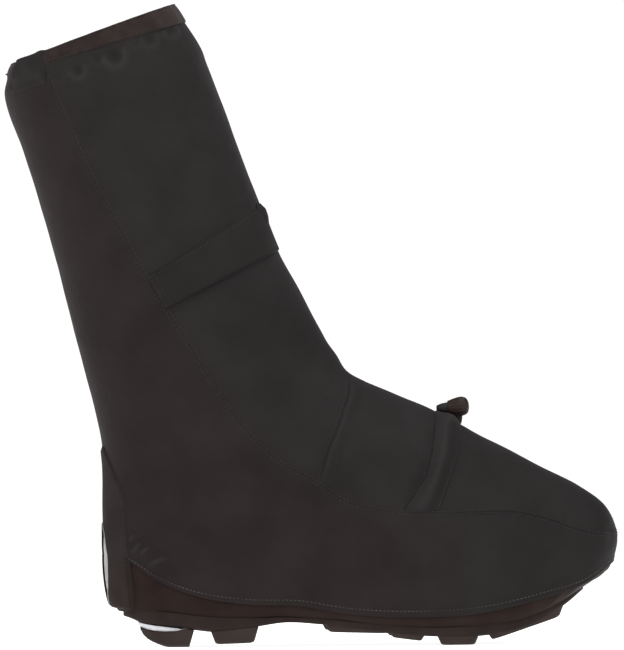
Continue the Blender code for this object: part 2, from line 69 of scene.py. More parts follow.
# A node with its settings and sockets filled in, for the sky here and the finishes below
def addNode(owner, kind, settings=None, sockets=None):
    node = owner.node_tree.nodes.new(kind)
    for key, value in (settings or {}).items():
        setattr(node, key, value)
    for key, value in (sockets or {}).items():
        node.inputs[key].default_value = value
    return node


# A link from one node's output to another's socket
def join(owner, source, output, target, socket):
    owner.node_tree.links.new(source.outputs[output], target.inputs[socket])


world = bpy.data.worlds.new("studio")
world.use_nodes = True
background = world.node_tree.nodes["Background"]
background.inputs["Color"].default_value = (1.0, 1.0, 1.0, 1.0)
skyWay, skyAxes = addNode(world, "ShaderNodeTexCoord"), addNode(world, "ShaderNodeSeparateXYZ")
skyHeight = addNode(world, "ShaderNodeMath", {"operation": "ABSOLUTE"})
skyBand = addNode(world, "ShaderNodeMapRange", {"interpolation_type": "SMOOTHSTEP"}, skyBandSpec)
join(world, skyWay, "Generated", skyAxes, "Vector")
join(world, skyAxes, "Z", skyHeight, 0)
join(world, skyHeight, "Value", skyBand, "Value")
join(world, skyBand, "Result", background, "Strength")
bpy.context.scene.world = world


# An area light that faces the aim point: its own -Z is turned along the line to that point
def addSoftBox(name, at, size, power):
    light = bpy.data.lights.new(name, "AREA")
    light.shape = "SQUARE"
    light.size, light.energy = size, power
    lamp = bpy.data.objects.new(name, light)
    lamp.location = at
    x, y, z = aimPoint - np.array(at)
    lamp.rotation_euler = (math.atan2(math.hypot(x, y), -z), 0.0, math.atan2(-x, y))
    lamp.visible_camera = False
    bpy.context.scene.collection.objects.link(lamp)


for boxSpec in softBoxes:
    addSoftBox(*boxSpec)
print("light: the sky and", len(softBoxes), "soft boxes")

# The last, in metres with x counted from the back of the heel, by the same rule as the part's source
lastSpec = {
    "wall": 0.0015, "gap": 0.0003, "originX": 0.0435, "length": 0.303,
    "toeSwing": 0.007, "swingStart": 0.090, "waistPinch": 0.006, "waistX": 0.125, "waistReach": 0.050,
}
ringNames = (
    "backX", "backZ", "frontX", "frontZ", "lateral", "medial", "widest", "backPower", "frontPower", "dip",
)
ringTable = np.array((
    (0.0022, 0.0540, 0.3025, 0.0480, 0.0530, 0.0540, 0.66, 2.70, 2.35, 1.00),
    (0.0020, 0.0600, 0.3047, 0.0620, 0.0540, 0.0550, 0.65, 2.70, 2.30, 0.80),
    (0.0020, 0.0660, 0.2985, 0.0790, 0.0530, 0.0540, 0.63, 2.60, 2.25, 0.62),
    (0.0020, 0.0730, 0.2830, 0.0920, 0.0510, 0.0520, 0.60, 2.50, 2.20, 0.47),
    (0.0020, 0.0810, 0.2610, 0.1030, 0.0490, 0.0500, 0.56, 2.45, 2.15, 0.34),
    (0.0020, 0.0900, 0.2340, 0.1175, 0.0470, 0.0475, 0.51, 2.40, 2.10, 0.23),
    (0.0020, 0.1000, 0.2050, 0.1320, 0.0450, 0.0455, 0.46, 2.30, 2.10, 0.14),
    (0.0018, 0.1080, 0.1770, 0.1465, 0.0440, 0.0440, 0.43, 2.25, 2.05, 0.07),
    (0.0012, 0.1140, 0.1550, 0.1560, 0.0435, 0.0435, 0.42, 2.20, 2.05, 0.03),
    (0.0007, 0.1190, 0.1440, 0.1620, 0.0430, 0.0430, 0.42, 2.20, 2.05, 0.00),
    (-0.0010, 0.1300, 0.1300, 0.1870, 0.0435, 0.0435, 0.43, 2.15, 2.05, 0.00),
    (-0.0045, 0.1460, 0.1170, 0.2120, 0.0445, 0.0445, 0.45, 2.15, 2.05, 0.00),
    (-0.0110, 0.1720, 0.1060, 0.2330, 0.0460, 0.0460, 0.47, 2.10, 2.05, 0.00),
    (-0.0180, 0.2000, 0.0955, 0.2600, 0.0470, 0.0470, 0.48, 2.10, 2.05, 0.00),
    (-0.0260, 0.2320, 0.0845, 0.2900, 0.0480, 0.0480, 0.49, 2.10, 2.05, 0.00),
    (-0.0350, 0.2640, 0.0745, 0.3180, 0.0490, 0.0490, 0.50, 2.10, 2.05, 0.00),
    (-0.0435, 0.2920, 0.0655, 0.3420, 0.0500, 0.0500, 0.50, 2.10, 2.10, 0.00),
    (-0.0545, 0.3280, 0.0595, 0.3570, 0.0510, 0.0510, 0.50, 2.10, 2.10, 0.00),
    (-0.0522, 0.3370, 0.0525, 0.3680, 0.0495, 0.0495, 0.50, 2.10, 2.10, 0.00),
    (-0.0500, 0.3435, 0.0462, 0.3780, 0.0480, 0.0480, 0.50, 2.10, 2.10, 0.00),
))
neckRow, collarRow = len(ringTable) - 2, len(ringTable) - 1
soleRing = dict(zip(ringNames, (0.010, 0.0, 0.2925, 0.0, 0.0465, 0.0475, 0.66, 2.60, 2.30, 1.00)))
hemTable = np.array((
    (0.0022, 0.0540), (0.0140, 0.0522), (0.0340, 0.0396), (0.0580, 0.0304), (0.0870, 0.0259),
    (0.1170, 0.0247), (0.1430, 0.0201), (0.1870, 0.0174), (0.2230, 0.0194), (0.2580, 0.0272),
    (0.2880, 0.0374), (0.3025, 0.0480),
))
stationTable = np.array((  # x, top and bottom of the sole plate
    (0.0060, 0.0216, 0.0205), (0.0132, 0.0213, 0.0184), (0.0182, 0.0211, 0.0166), (0.0212, 0.0210, 0.0152),
    (0.0300, 0.0205, 0.0132), (0.0400, 0.0197, 0.0119), (0.0550, 0.0178, 0.0098), (0.0660, 0.0168, 0.0086),
    (0.0910, 0.0160, 0.0116), (0.1080, 0.0162, 0.0140), (0.1280, 0.0152, 0.0128), (0.1700, 0.0108, 0.0068),
    (0.2050, 0.0094, 0.0046), (0.2270, 0.0108, 0.0052), (0.2520, 0.0160, 0.0104), (0.2750, 0.0275, 0.0242),
    (0.2845, 0.0337, 0.0318), (0.2980, 0.0405, 0.0385),
))


# Length gone along a line of points: the running sum of its steps
def wayAlong(points):
    return np.concatenate([[0.0], np.cumsum(np.linalg.norm(np.diff(points, axis=0), axis=1))])


riseTable = (wayAlong(ringTable[:, 0:2]) + wayAlong(ringTable[:, 2:4])) / 2  # mean way up to each ring


# Way up the form to a row in metres, straight between the rings
def riseAt(row):
    return np.interp(row, np.arange(len(ringTable)), riseTable)


# Cubic through the rows of a table, each slope weighted from the two neighbouring steps
def smoothTable(knots, values, query):
    query = np.clip(query, knots[0], knots[-1])
    step = np.diff(knots)
    shape = (-1,) + (1,) * (values.ndim - 1)
    slope = np.diff(values, axis=0) / step.reshape(shape)
    before, after = step[:-1].reshape(shape), step[1:].reshape(shape)
    middle = (slope[:-1] * after + slope[1:] * before) / (before + after)
    tangent = np.concatenate([slope[:1], middle, slope[-1:]])
    i = np.clip(np.searchsorted(knots, query, side="right") - 1, 0, len(step) - 1)
    pad = (...,) + (None,) * (values.ndim - 1)
    span = step[i][pad]
    t = ((query - knots[i]) / step[i])[pad]
    rising = values[i] * (1 + 2 * t) * (1 - t) ** 2 + values[i + 1] * t * t * (3 - 2 * t)
    return rising + span * t * (1 - t) * (tangent[i] * (1 - t) - tangent[i + 1] * t)


# Cubic step from none to one
def smoothStep(value):
    t = np.clip(value, 0, 1)
    return t * t * (3 - 2 * t)


# The same step from a start over a distance
def stepFrom(value, start, over):
    return smoothStep((value - start) / over)


# Straight between two values by a share from none to one
def between(ends, share):
    return ends[0] + (ends[1] - ends[0]) * share


# Gaussian hump: one at zero, falling off over a distance of one
def bell(value):
    return np.exp(-(value**2))


# Each vector divided by its own length
def unit(vectors):
    return vectors / np.linalg.norm(vectors, axis=-1, keepdims=True)


# Middle line of the foot in plan: straight at the heel, then swinging inwards by the square of the way ahead
def centreLine(x):
    ahead = np.maximum(x - lastSpec["swingStart"], 0) / (lastSpec["length"] - lastSpec["swingStart"])
    return lastSpec["toeSwing"] * ahead**2


# How far the waist of the foot is drawn in: a Gaussian along x
def waistPinch(x):
    return lastSpec["waistPinch"] * bell((x - lastSpec["waistX"]) / lastSpec["waistReach"])


# Top and underside of the sole plate, through its stations
def plateTop(x):
    return smoothTable(stationTable[:, 0], stationTable[:, 1], x)


def plateBottom(x):
    return smoothTable(stationTable[:, 0], stationTable[:, 2], x)


# A ring seen from above: a superellipse whose widest place, widths and powers come from the table
def ringPlan(ring, phi):
    c, s = np.cos(phi), np.sin(phi)
    power = np.where(c >= 0, ring["frontPower"], ring["backPower"])
    reach = np.abs(c) ** (2 / power)
    along = np.where(c >= 0, ring["widest"] + (1 - ring["widest"]) * reach, ring["widest"] * (1 - reach))
    x = between((ring["backX"], ring["frontX"]), along)
    pinch = ring["dip"] * waistPinch(x)  # a third of it on the outer side
    half = np.where(s >= 0, ring["medial"] - pinch, ring["lateral"] - pinch / 3)
    return along, x, half * np.sign(s) * np.abs(s) ** (2 / power) + centreLine(x)


# Above the hem: a ring on the chord from its back to its front point, sagging by its share of the hem's dip
def wallAt(phi, row):
    ring = dict(zip(ringNames, np.moveaxis(smoothTable(riseTable, ringTable, riseAt(row)), -1, 0)))
    along, x, y = ringPlan(ring, phi)
    hem = ringTable[0]
    hemX, chordZ = between(hem[0:4:2], along), between(hem[1:4:2], along)
    sag = smoothTable(hemTable[:, 0], hemTable[:, 1], hemX) - chordZ
    z = between((ring["backZ"], ring["frontZ"]), along) + ring["dip"] * sag
    return np.stack([x, y, z], axis=-1)


# Below the hem: a quarter ellipse that falls by its sine and tucks under the foot by its cosine
def skirtAt(phi, drop):
    top = wallAt(phi, np.zeros_like(phi))
    _, footX, footY = ringPlan(soleRing, phi)
    turn, fall = np.cos(drop * np.pi / 2), np.sin(drop * np.pi / 2)
    x, y = between((footX, top[..., 0]), turn), between((footY, top[..., 1]), turn)
    footZ = plateTop(x) - lastSpec["wall"] - lastSpec["gap"]
    return np.stack([x, y, between((top[..., 2], footZ), fall)], axis=-1)


# The whole boot as one surface: phi goes round from the toe by the inner side, row climbs from sole to collar
def formAt(phi, row):
    phi, row = np.broadcast_arrays(np.asarray(phi, float), np.asarray(row, float))
    low = skirtAt(phi, np.clip(-row, 0, 1))
    high = wallAt(phi, np.clip(row, 0, collarRow))
    return np.where((row < 0)[..., None], low, high)


# Point, outward normal and upward direction, from differences of the surface each way
def frameAt(phi, row):
    nudge = 1e-3
    above, below = np.clip(row + nudge, -1, collarRow), np.clip(row - nudge, -1, collarRow)
    around = formAt(phi + nudge, row) - formAt(phi - nudge, row)
    upward = formAt(phi, above) - formAt(phi, below)
    return formAt(phi, row), unit(np.cross(around, upward)), unit(upward)


# Creases of the cloth, in millimetres seen from the side: a line of (x, z), its width and its height
clothSpec = {
    "seam": (
        (-28.0, 337.0), (-17.0, 311.0), (-3.3, 279.3), (10.4, 252.8), (25.3, 223.6), (41.0, 197.6),
        (52.6, 178.8), (84.8, 128.9), (105.0, 109.3), (129.3, 95.0), (142.6, 86.0), (160.6, 80.6),
        (180.9, 78.0), (200.7, 77.4), (243.9, 77.6), (262.0, 73.4), (285.0, 65.6), (300.5, 63.2),
    ),
    "seamTip": (305.0, 62.6), "step": 0.55, "stepOver": 3.0, "stepReach": 26.0,
    "puckerHeight": 0.26, "puckerLength": 9.5, "puckerReach": 7.0, "slowWave": 0.28, "fastWave": 0.10,
    "warmBlend": 26.0, "warmEnd": 240.0, "warmFade": 90.0,  # across the seam, and towards the toe
    # Amounts of painted highlight on the ridges and loop rims and of painted shade in the loops; then the
    # loops' hollow and lean
    "ridgeHighlight": 0.9, "loopHighlight": 0.55, "loopShade": 0.35, "loopHollow": 0.6, "collarLean": (0.93, 0.37),
    "loopTall": 1.15, "loopSharp": 2.2, "rimWidth": 0.38, "rimFade": (0.5, 0.6),  # in sizes of a loop
    "highlightWidth": 0.62, "highlightEnds": (0.4, 0.6, 0.1), "shadeEnds": (0.1, 0.1),  # how lines come and go
    "foldEnds": (0.3, 0.3, 0.15, 0.15), "hemFade": 0.25, "hemShow": 0.2,
    "folds": (
        (((140.5, 160.0), (134.5, 149.0), (130.5, 139.0)), 1.5, -0.7),
        (((144.0, 161.0), (137.5, 148.0), (131.5, 134.0)), 1.8, 0.6),
        (((156.0, 152.0), (151.0, 130.0), (145.0, 106.0)), 5.0, -0.9),
        (((70.0, 258.0), (80.0, 265.0), (90.0, 270.0)), 3.2, 0.9),
        (((66.0, 250.0), (79.0, 258.0), (91.0, 263.0)), 3.8, -0.8),
        (((-55.0, 337.0), (-44.0, 341.0), (-33.0, 344.0)), 3.2, 1.1),
        (((-54.0, 330.5), (-43.0, 333.5), (-31.0, 337.0)), 2.2, -1.3),
        (((20.0, 345.0), (34.0, 290.0), (60.0, 240.0)), 15.0, 1.1),
        (((40.0, 330.0), (54.0, 285.0), (72.0, 245.0)), 12.0, -1.0),
        (((5.0, 215.0), (25.0, 165.0), (40.0, 120.0)), 14.0, 1.1),
        (((24.0, 190.0), (42.0, 150.0), (62.0, 122.0)), 11.0, -0.8),
        (((194.4, 128.0), (192.6, 113.0), (187.6, 99.0), (176.5, 84.0)), 1.8, -1.2),
        (((216.0, 126.0), (214.6, 110.0), (209.4, 93.0)), 2.6, -0.8),
        (((286.0, 67.0), (294.0, 67.5), (302.0, 66.0)), 1.6, -0.6),
        (((290.0, 62.0), (296.0, 58.5), (301.0, 56.0)), 1.4, -0.5),
        (((289.0, 70.5), (296.0, 72.0), (302.0, 71.0)), 2.0, 0.5),
    ),
    "ridges": (  # puckers at the heel, with a painted highlight along their crests
        (((16.6, 62.4), (18.2, 65.0), (20.2, 67.8)), 1.4, 0.8),
        (((18.2, 54.6), (20.8, 59.0), (24.6, 63.6)), 1.7, 1.1),
        (((22.6, 54.6), (26.0, 57.6), (30.2, 60.4)), 1.7, 1.1),
        (((27.0, 48.2), (33.5, 51.4), (41.0, 54.0)), 2.0, 0.6),
    ),
    "shades": (  # lines of painted shade: along the tunnel's back edge, the toe seam, the front of the ankle and under the strap's edge, with width and amount
        (((195.6, 128.0), (194.4, 113.0), (190.6, 101.0), (184.0, 90.0), (178.0, 81.0)), 0.9, 0.75),
        (((191.4, 112.0), (186.6, 98.5), (177.5, 85.0)), 0.7, 0.45),
        (((205.0, 77.7), (243.9, 77.9), (262.0, 73.8), (285.0, 66.0), (300.5, 63.6)), 0.8, 0.45),
        (((62.0, 232.0), (95.0, 198.0), (132.0, 164.0)), 16.0, 0.32),
        (((39.0, 196.0), (72.0, 213.6), (106.0, 231.6)), 0.7, 0.75),
    ),
    "hollows": (  # centre x and z, radius along and up, height
        (139.5, 169.5, 9.0, 9.0, 2.5),
        (191.0, 141.5, 10.0, 10.0, 0.9),
        (201.0, 137.0, 10.0, 10.0, 1.2),
        (213.0, 130.5, 9.0, 10.0, 1.0),
        (31.0, 91.0, 15.0, 13.0, -2.0),
        (99.0, 59.0, 20.0, 13.0, -1.0),
        (150.0, 62.0, 24.0, 14.0, 0.8),
        (232.0, 56.0, 28.0, 16.0, 0.7),
    ),
    "gathers": (  # loops of slack cloth under the collar binding: centre x and z, size, height
        (-10.6, 340.4, 4.6, 1.3), (11.0, 348.6, 6.2, 1.5), (1.2, 346.6, 3.2, 0.5), (24.0, 356.2, 3.4, 0.5),
        (32.0, 357.6, 4.6, 0.9), (44.0, 362.6, 4.0, 0.9), (-21.5, 336.4, 3.2, 0.4),
    ),
}
seamLine = clothSpec["seam"] + (clothSpec["seamTip"],)


# Side view of points: x and z in millimetres
def sideView(point):
    return point[..., 0] * 1000, point[..., 2] * 1000


# Nearest distance to a line in the side view, its side (one on the left), the way gone along it and its share
def lineField(x, z, line):
    points = np.array(line)
    starts = wayAlong(points)
    best = np.full(x.shape, 1e9)
    sign, gone = np.ones(x.shape), np.zeros(x.shape)
    for (px, pz), (wx, wz), start in zip(points, np.diff(points, axis=0), starts):
        length = math.hypot(wx, wz)
        t = np.clip(((x - px) * wx + (z - pz) * wz) / length**2, 0, 1)
        away = np.hypot(x - px - t * wx, z - pz - t * wz)
        nearer = away < best
        side = np.where(wx * (z - pz) - wz * (x - px) >= 0, 1.0, -1.0)
        best = np.where(nearer, away, best)
        sign = np.where(nearer, side, sign)
        gone = np.where(nearer, start + t * length, gone)
    return best, sign, gone, gone / starts[-1]


# A ridge along a line: a Gaussian across it, coming in and going out over shares of its length
def lineRidge(x, z, line, width, comeIn, goOut, first=0.0, last=0.0):
    away, _, _, share = lineField(x, z, line)
    return bell(away / width) * smoothStep(share / comeIn + first) * smoothStep((1 - share) / goOut + last)


# One loop under the collar, leaning with it: a Gaussian over its middle, and one along its lower rim
def gatherField(x, z, centreX, centreZ, size):
    x, z = x - centreX, z - centreZ
    c, s = clothSpec["collarLean"]
    along, up = (x * c + z * s) / size, (z * c - x * s) / (clothSpec["loopTall"] * size)
    far = np.hypot(along, up)
    fadeFrom, fadeOver = clothSpec["rimFade"]
    rim = bell((far - 1.0) / clothSpec["rimWidth"]) * smoothStep((fadeFrom - up) / fadeOver)
    return np.exp(-clothSpec["loopSharp"] * far**2), rim


# Painted highlight, from none to one: along the crests of the heel ridges and the rims of the collar loops
def paintedHighlightAt(point):
    x, z = sideView(point)
    crest = np.zeros(x.shape)
    for line, width, _ in clothSpec["ridges"]:
        pale = lineRidge(x, z, line, clothSpec["highlightWidth"] * width, *clothSpec["highlightEnds"])
        crest += clothSpec["ridgeHighlight"] * pale
    for *loop, high in clothSpec["gathers"]:
        crest += clothSpec["loopHighlight"] * high * gatherField(x, z, *loop)[1]
    return np.clip(crest, 0, 1)


# Painted shade, from none to one: along the shade lines and in the middle of the collar loops
def paintedShadeAt(point):
    x, z = sideView(point)
    shade = np.zeros(x.shape)
    for line, width, amount in clothSpec["shades"]:
        shade += amount * lineRidge(x, z, line, width, *clothSpec["shadeEnds"])
    for *loop, high in clothSpec["gathers"]:
        shade += clothSpec["loopShade"] * high * gatherField(x, z, *loop)[0]
    return np.clip(shade, 0, 1)


# Where the warmer cloth of the back and side panel lies: one behind and below the seam, none towards the toe
def warmAt(point):
    x, z = sideView(point)
    away, sign, _, _ = lineField(x, z, seamLine)
    toToe = smoothStep((clothSpec["warmEnd"] - x) / clothSpec["warmFade"])
    return smoothStep(0.5 - sign * away / clothSpec["warmBlend"]) * toToe


# Height of the cloth over the last in metres: the seam's step and puckers, folds and ridges, hollows, collar
# loops, and two crossed waves
def reliefAt(point, phi):
    x, z = sideView(point)
    away, sign, gone, _ = lineField(x, z, seamLine)
    step = smoothStep(0.5 + sign * away / clothSpec["stepOver"]) - 0.5
    height = clothSpec["step"] * step * bell(away / clothSpec["stepReach"])
    wave = np.sin(gone * 2 * np.pi / clothSpec["puckerLength"] + 1.7 * np.sin(gone / 17.0))
    height += clothSpec["puckerHeight"] * wave * bell(away / clothSpec["puckerReach"])
    for line, width, high in clothSpec["folds"] + clothSpec["ridges"]:
        height += high * lineRidge(x, z, line, width, *clothSpec["foldEnds"])
    for centreX, centreZ, radiusX, radiusZ, high in clothSpec["hollows"]:
        height += high * bell((x - centreX) / radiusX) * bell((z - centreZ) / radiusZ)
    for *loop, high in clothSpec["gathers"]:
        hollow, rim = gatherField(x, z, *loop)
        height += high * (rim - clothSpec["loopHollow"] * hollow)
    slow = np.sin(x / 21 + 1.3 * np.sin(z / 29) + phi) * np.sin(z / 24 + 0.8 * np.sin(x / 33))
    fast = np.sin(x / 7.3 + z / 9.1 + 2 * phi) * np.sin(z / 6.7 - x / 11.0)
    return 0.001 * (height + clothSpec["slowWave"] * slow + clothSpec["fastWave"] * fast)


# How much of the relief shows: a little at the hem, all of it a fifth of a ring above
def reliefFade(row):
    return smoothStep(row / clothSpec["hemFade"] + clothSpec["hemShow"])


# The dressed surface: the last plus the cloth's relief and a further lift, along the last's own normal
def dressedAt(phi, row, lift):
    phi, row, lift = np.broadcast_arrays(phi, row, lift)
    point, normal, _ = frameAt(phi, row)
    return point + normal * (reliefAt(point, phi) * reliefFade(row) + lift)[..., None]


# Quads of a grid of points; a wrapped way joins its last line to its first
def gridQuads(rows, cols, wrapRows=False, wrapCols=False):
    r = np.arange(rows if wrapRows else rows - 1)[:, None]
    c = np.arange(cols if wrapCols else cols - 1)[None, :]
    nextR, nextC = (r + 1) % rows, (c + 1) % cols
    quads = [r * cols + c, r * cols + nextC, nextR * cols + nextC, nextR * cols + c]
    return np.stack(quads, axis=-1).reshape(-1, 4)


# Puts points and faces in as one mesh at the origin, with smooth faces, ties it to its body and hides the
# model's parts of its nodes
def addPiece(name, points, faces, finish, nodes=(), slot=None, body="boot", values=None, uv=None):
    place = np.asarray(points, float).reshape(-1, 3) - np.array([lastSpec["originX"], 0.0, 0.0])
    mesh = bpy.data.meshes.new(name)
    mesh.from_pydata(place.tolist(), [], faces)
    mesh.update()
    mesh.shade_smooth()
    for key, value in (values or {}).items():
        stored = mesh.attributes.new(key, "FLOAT", "POINT")
        stored.data.foreach_set("value", np.ravel(value).astype(np.float32))
    if uv is not None:
        corners = np.empty(len(mesh.loops), np.int32)
        mesh.loops.foreach_get("vertex_index", corners)
        layer = mesh.uv_layers.new(name="cloth")
        layer.data.foreach_set("uv", uv.reshape(-1, 2)[corners].astype(np.float32).ravel())
    mesh.materials.append(finishes[finish])
    piece = bpy.data.objects.new(name, mesh)
    bpy.context.scene.collection.objects.link(piece)
    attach(piece, body)
    if nodes:
        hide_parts(*nodes)
    return piece


# A second finish on the faces whose value is one, counted from the first face
def paintFaces(piece, finish, chosen):
    index = np.zeros(len(piece.data.polygons), np.int32)
    index[: len(chosen)] = chosen
    piece.data.materials.append(finishes[finish])
    piece.data.polygons.foreach_set("material_index", index)


# A closed skin from an outer and an inner grid of the same size: both grids and a strip round their rim
def closedSkin(outer, inner):
    rows, cols = outer.shape[:2]
    count = rows * cols
    quads = gridQuads(rows, cols)
    index = np.arange(count).reshape(rows, cols)
    rim = np.concatenate([index[0], index[1:, -1], index[-1, -2::-1], index[-2:0:-1, 0]])
    ahead = np.roll(rim, -1)
    band = np.stack([ahead, rim, rim + count, ahead + count], axis=-1)
    faces = np.concatenate([quads, quads[:, ::-1] + count, band])
    return np.concatenate([outer.reshape(-1, 3), inner.reshape(-1, 3)]), faces.tolist()


# A piece laid on the form: a closed skin between two grids, with its values and cloth places on both faces
def addOverlay(spec, outer, inner, values=None, cloth=None):
    name, finish, node, slot = spec["piece"]
    shape = outer.shape[:2]
    both = {key: [np.broadcast_to(value, shape)] * 2 for key, value in (values or {}).items()}
    if cloth:
        sized = [np.broadcast_to(part * size, shape) for part, size in zip(cloth, spec["clothSize"])]
        cloth = np.concatenate([np.stack(sized, axis=-1)] * 2)
    return addPiece(name, *closedSkin(outer, inner), finish, (node,), slot, values=both, uv=cloth)


# Rings joined into a closed body: quads between rings and one flat face at each end
def ringBody(rings):
    rows, cols = rings.shape[:2]
    faces = gridQuads(rows, cols, wrapCols=True).tolist()
    faces.append(list(range(cols))[::-1])
    faces.append(list(range((rows - 1) * cols, rows * cols)))
    return rings.reshape(-1, 3), faces


# First place along each row of a table where its value changes sign, by straight interpolation
def firstCrossing(values, places):
    above = values > 0
    k = np.argmax(above[:, 1:] != above[:, :-1], axis=1)
    i = np.arange(len(values))
    a, b = values[i, k], values[i, k + 1]
    return places[k] + (places[k + 1] - places[k]) * a / (a - b)


# The one shader of a finish, which the steps below add to
def shaderOf(finish):
    return finish.node_tree.nodes["Principled BSDF"]


# What the textures share; at a scale of one a wave texture repeats after its period
textureSpec = {
    "driftDetail": 4.0, "driftRoughness": 0.55, "driftStops": (0.35, 0.65), "grainRoughness": 0.6,
    "wavePeriod": 0.314159, "weave": {"Distortion": 0.6, "Detail": 1.0},
}


# Soft noise in the object's own space
def addNoise(finish, scale, detail, roughness):
    place = addNode(finish, "ShaderNodeTexCoord")
    sockets = {"Scale": scale, "Detail": detail, "Roughness": roughness}
    noise = addNode(finish, "ShaderNodeTexNoise", None, sockets)
    join(finish, place, "Object", noise, "Vector")
    return noise


# Colour that drifts between two tones with a noise
def addMottle(finish, dark, light, scale):
    noise = addNoise(finish, scale, textureSpec["driftDetail"], textureSpec["driftRoughness"])
    ramp = addNode(finish, "ShaderNodeValToRGB")
    stops = zip(ramp.color_ramp.elements, textureSpec["driftStops"], (dark, light))
    for stop, position, tone in stops:
        stop.position, stop.color = position, (*tone, 1.0)
    join(finish, noise, "Fac", ramp, "Fac")
    join(finish, ramp, "Color", shaderOf(finish), "Base Color")


# One more layer of bump over those already on the shader's normal
def addBump(finish, source, output, strength, distance):
    normal = shaderOf(finish).inputs["Normal"]
    bump = addNode(finish, "ShaderNodeBump", None, {"Strength": strength, "Distance": distance})
    join(finish, source, output, bump, "Height")
    if normal.is_linked:
        finish.node_tree.links.new(normal.links[0].from_socket, bump.inputs["Normal"])
    join(finish, bump, "Normal", shaderOf(finish), "Normal")


# Grain: a fine noise as height
def addGrain(finish, scale, strength, distance, detail=3.0):
    noise = addNoise(finish, scale, detail, textureSpec["grainRoughness"])
    addBump(finish, noise, "Fac", strength, distance)


# Woven threads: two crossed waves on the cloth's own length and width, multiplied and added as height
def addWeave(finish, pitch, strength, distance):
    place = addNode(finish, "ShaderNodeTexCoord")
    both = addNode(finish, "ShaderNodeMath", {"operation": "MULTIPLY"})
    for socket, way in enumerate(("X", "Y")):
        sockets = {"Scale": textureSpec["wavePeriod"] / pitch, **textureSpec["weave"]}
        wave = addNode(finish, "ShaderNodeTexWave", {"wave_type": "BANDS", "bands_direction": way}, sockets)
        join(finish, place, "UV", wave, "Vector")
        join(finish, wave, "Fac", both, socket)
    addBump(finish, both, "Value", strength, distance)


# A groove where a stored distance is near zero: height climbs from the seam over its width
def addGroove(finish, attribute, width, strength, distance):
    stored = addNode(finish, "ShaderNodeAttribute", {"attribute_name": attribute})
    ramp = addNode(finish, "ShaderNodeMapRange", {"interpolation_type": "SMOOTHSTEP"}, {"From Max": width})
    join(finish, stored, "Fac", ramp, "Value")
    addBump(finish, ramp, "Result", strength, distance)


# A further tone over the base colour, mixed or multiplied in by a factor between none and one
def addTint(finish, source, output, tone, blend):
    base = shaderOf(finish).inputs["Base Color"].links[0].from_socket
    mix = addNode(finish, "ShaderNodeMixRGB", {"blend_type": blend}, {"Color2": (*tone, 1.0)})
    finish.node_tree.links.new(base, mix.inputs["Color1"])
    join(finish, source, output, mix, "Fac")
    join(finish, mix, "Color", shaderOf(finish), "Base Color")


# Tone multiplied in along an axis: none at one place, full at the other
def addSlopeTint(finish, axis, none, full, tone):
    place = addNode(finish, "ShaderNodeTexCoord")
    axes = addNode(finish, "ShaderNodeSeparateXYZ")
    sockets = {"From Min": none, "From Max": full}
    share = addNode(finish, "ShaderNodeMapRange", {"interpolation_type": "SMOOTHSTEP"}, sockets)
    join(finish, place, "Object", axes, "Vector")
    join(finish, axes, axis, share, "Value")
    addTint(finish, share, "Result", tone, "MULTIPLY")


# Tone brought in by a value stored on the piece, from none to one
def addStoredTint(finish, attribute, tone, blend):
    addTint(finish, addNode(finish, "ShaderNodeAttribute", {"attribute_name": attribute}), "Fac", tone, blend)


# Tone that painted shade multiplies into the base colour
paintedShadeTone = (0.55, 0.53, 0.53)
rubberGrain, plasticGrain = (520, 0.25, 0.0006), (1400, 0.12, 0.0003)
# Roughness, shine, dark and light tone, scale of their drift, then grain by scale, strength and distance
finishTable = {
    "charcoalCloth": (0.7, 0.06, (0.0112, 0.0097, 0.0096), (0.0148, 0.0132, 0.0131), 26, (900, 0.14, 0.0004)),
    "charcoalStrap": (0.74, 0.06, (0.0098, 0.0084, 0.0082), (0.013, 0.0114, 0.0112), 30, (850, 0.15, 0.0004)),
    "darkLining": (0.9, 0.1, (0.01, 0.009, 0.009), (0.014, 0.013, 0.013), 60, (600, 0.25, 0.0005)),
    "coatedRand": (0.66, 0.08, (0.012, 0.0066, 0.0056), (0.0168, 0.0098, 0.0084), 55, (700, 0.28, 0.0006)),
    "brownRubber": (0.66, 0.14, (0.019, 0.012, 0.01), (0.027, 0.0184, 0.0156), 70, rubberGrain),
    "darkRubber": (0.66, 0.1, (0.0122, 0.0074, 0.0063), (0.0176, 0.0112, 0.0096), 60, rubberGrain),
    "greyFoam": (0.7, 0.3, (0.5, 0.5, 0.52), (0.62, 0.62, 0.64), 90, (900, 0.2, 0.0004)),
    "slickPanel": (0.72, 0.05, (0.016, 0.0122, 0.0119), (0.0208, 0.0162, 0.0158), 60, (600, 0.14, 0.0005)),
    "reflectiveFilm": (0.45, 0.3, (0.22, 0.21, 0.21), (0.3, 0.29, 0.29), 120, (1500, 0.15, 0.0003)),
    "darkTape": (0.9, 0, (0.009, 0.0072, 0.007), (0.012, 0.0098, 0.0095), 90),
    "brownElastic": (0.85, 0.12, (0.0108, 0.0066, 0.0058), (0.019, 0.0122, 0.0108), 160, (1100, 0.3, 0.0005)),
    "brownPlastic": (0.5, 0.14, (0.0128, 0.0074, 0.0056), (0.0184, 0.0112, 0.0088), 140, plasticGrain),
    "greyPlastic": (0.55, 0.12, (0.011, 0.0102, 0.0104), (0.016, 0.015, 0.0152), 140, plasticGrain),
    "braidedCord": (0.85, 0.15, (0.014, 0.01, 0.009), (0.024, 0.017, 0.015), 300),
    "darkThread": (0.6, 0.25, (0.0088, 0.0075, 0.0073), (0.016, 0.014, 0.0137), 330),
    "paleThread": (0.6, 0.25, (0.014, 0.012, 0.0115), (0.05, 0.043, 0.042), 75),
    "paleFloor": (0.9, 0.1, (0.86, 0.86, 0.86), (0.88, 0.88, 0.88), 3),
}
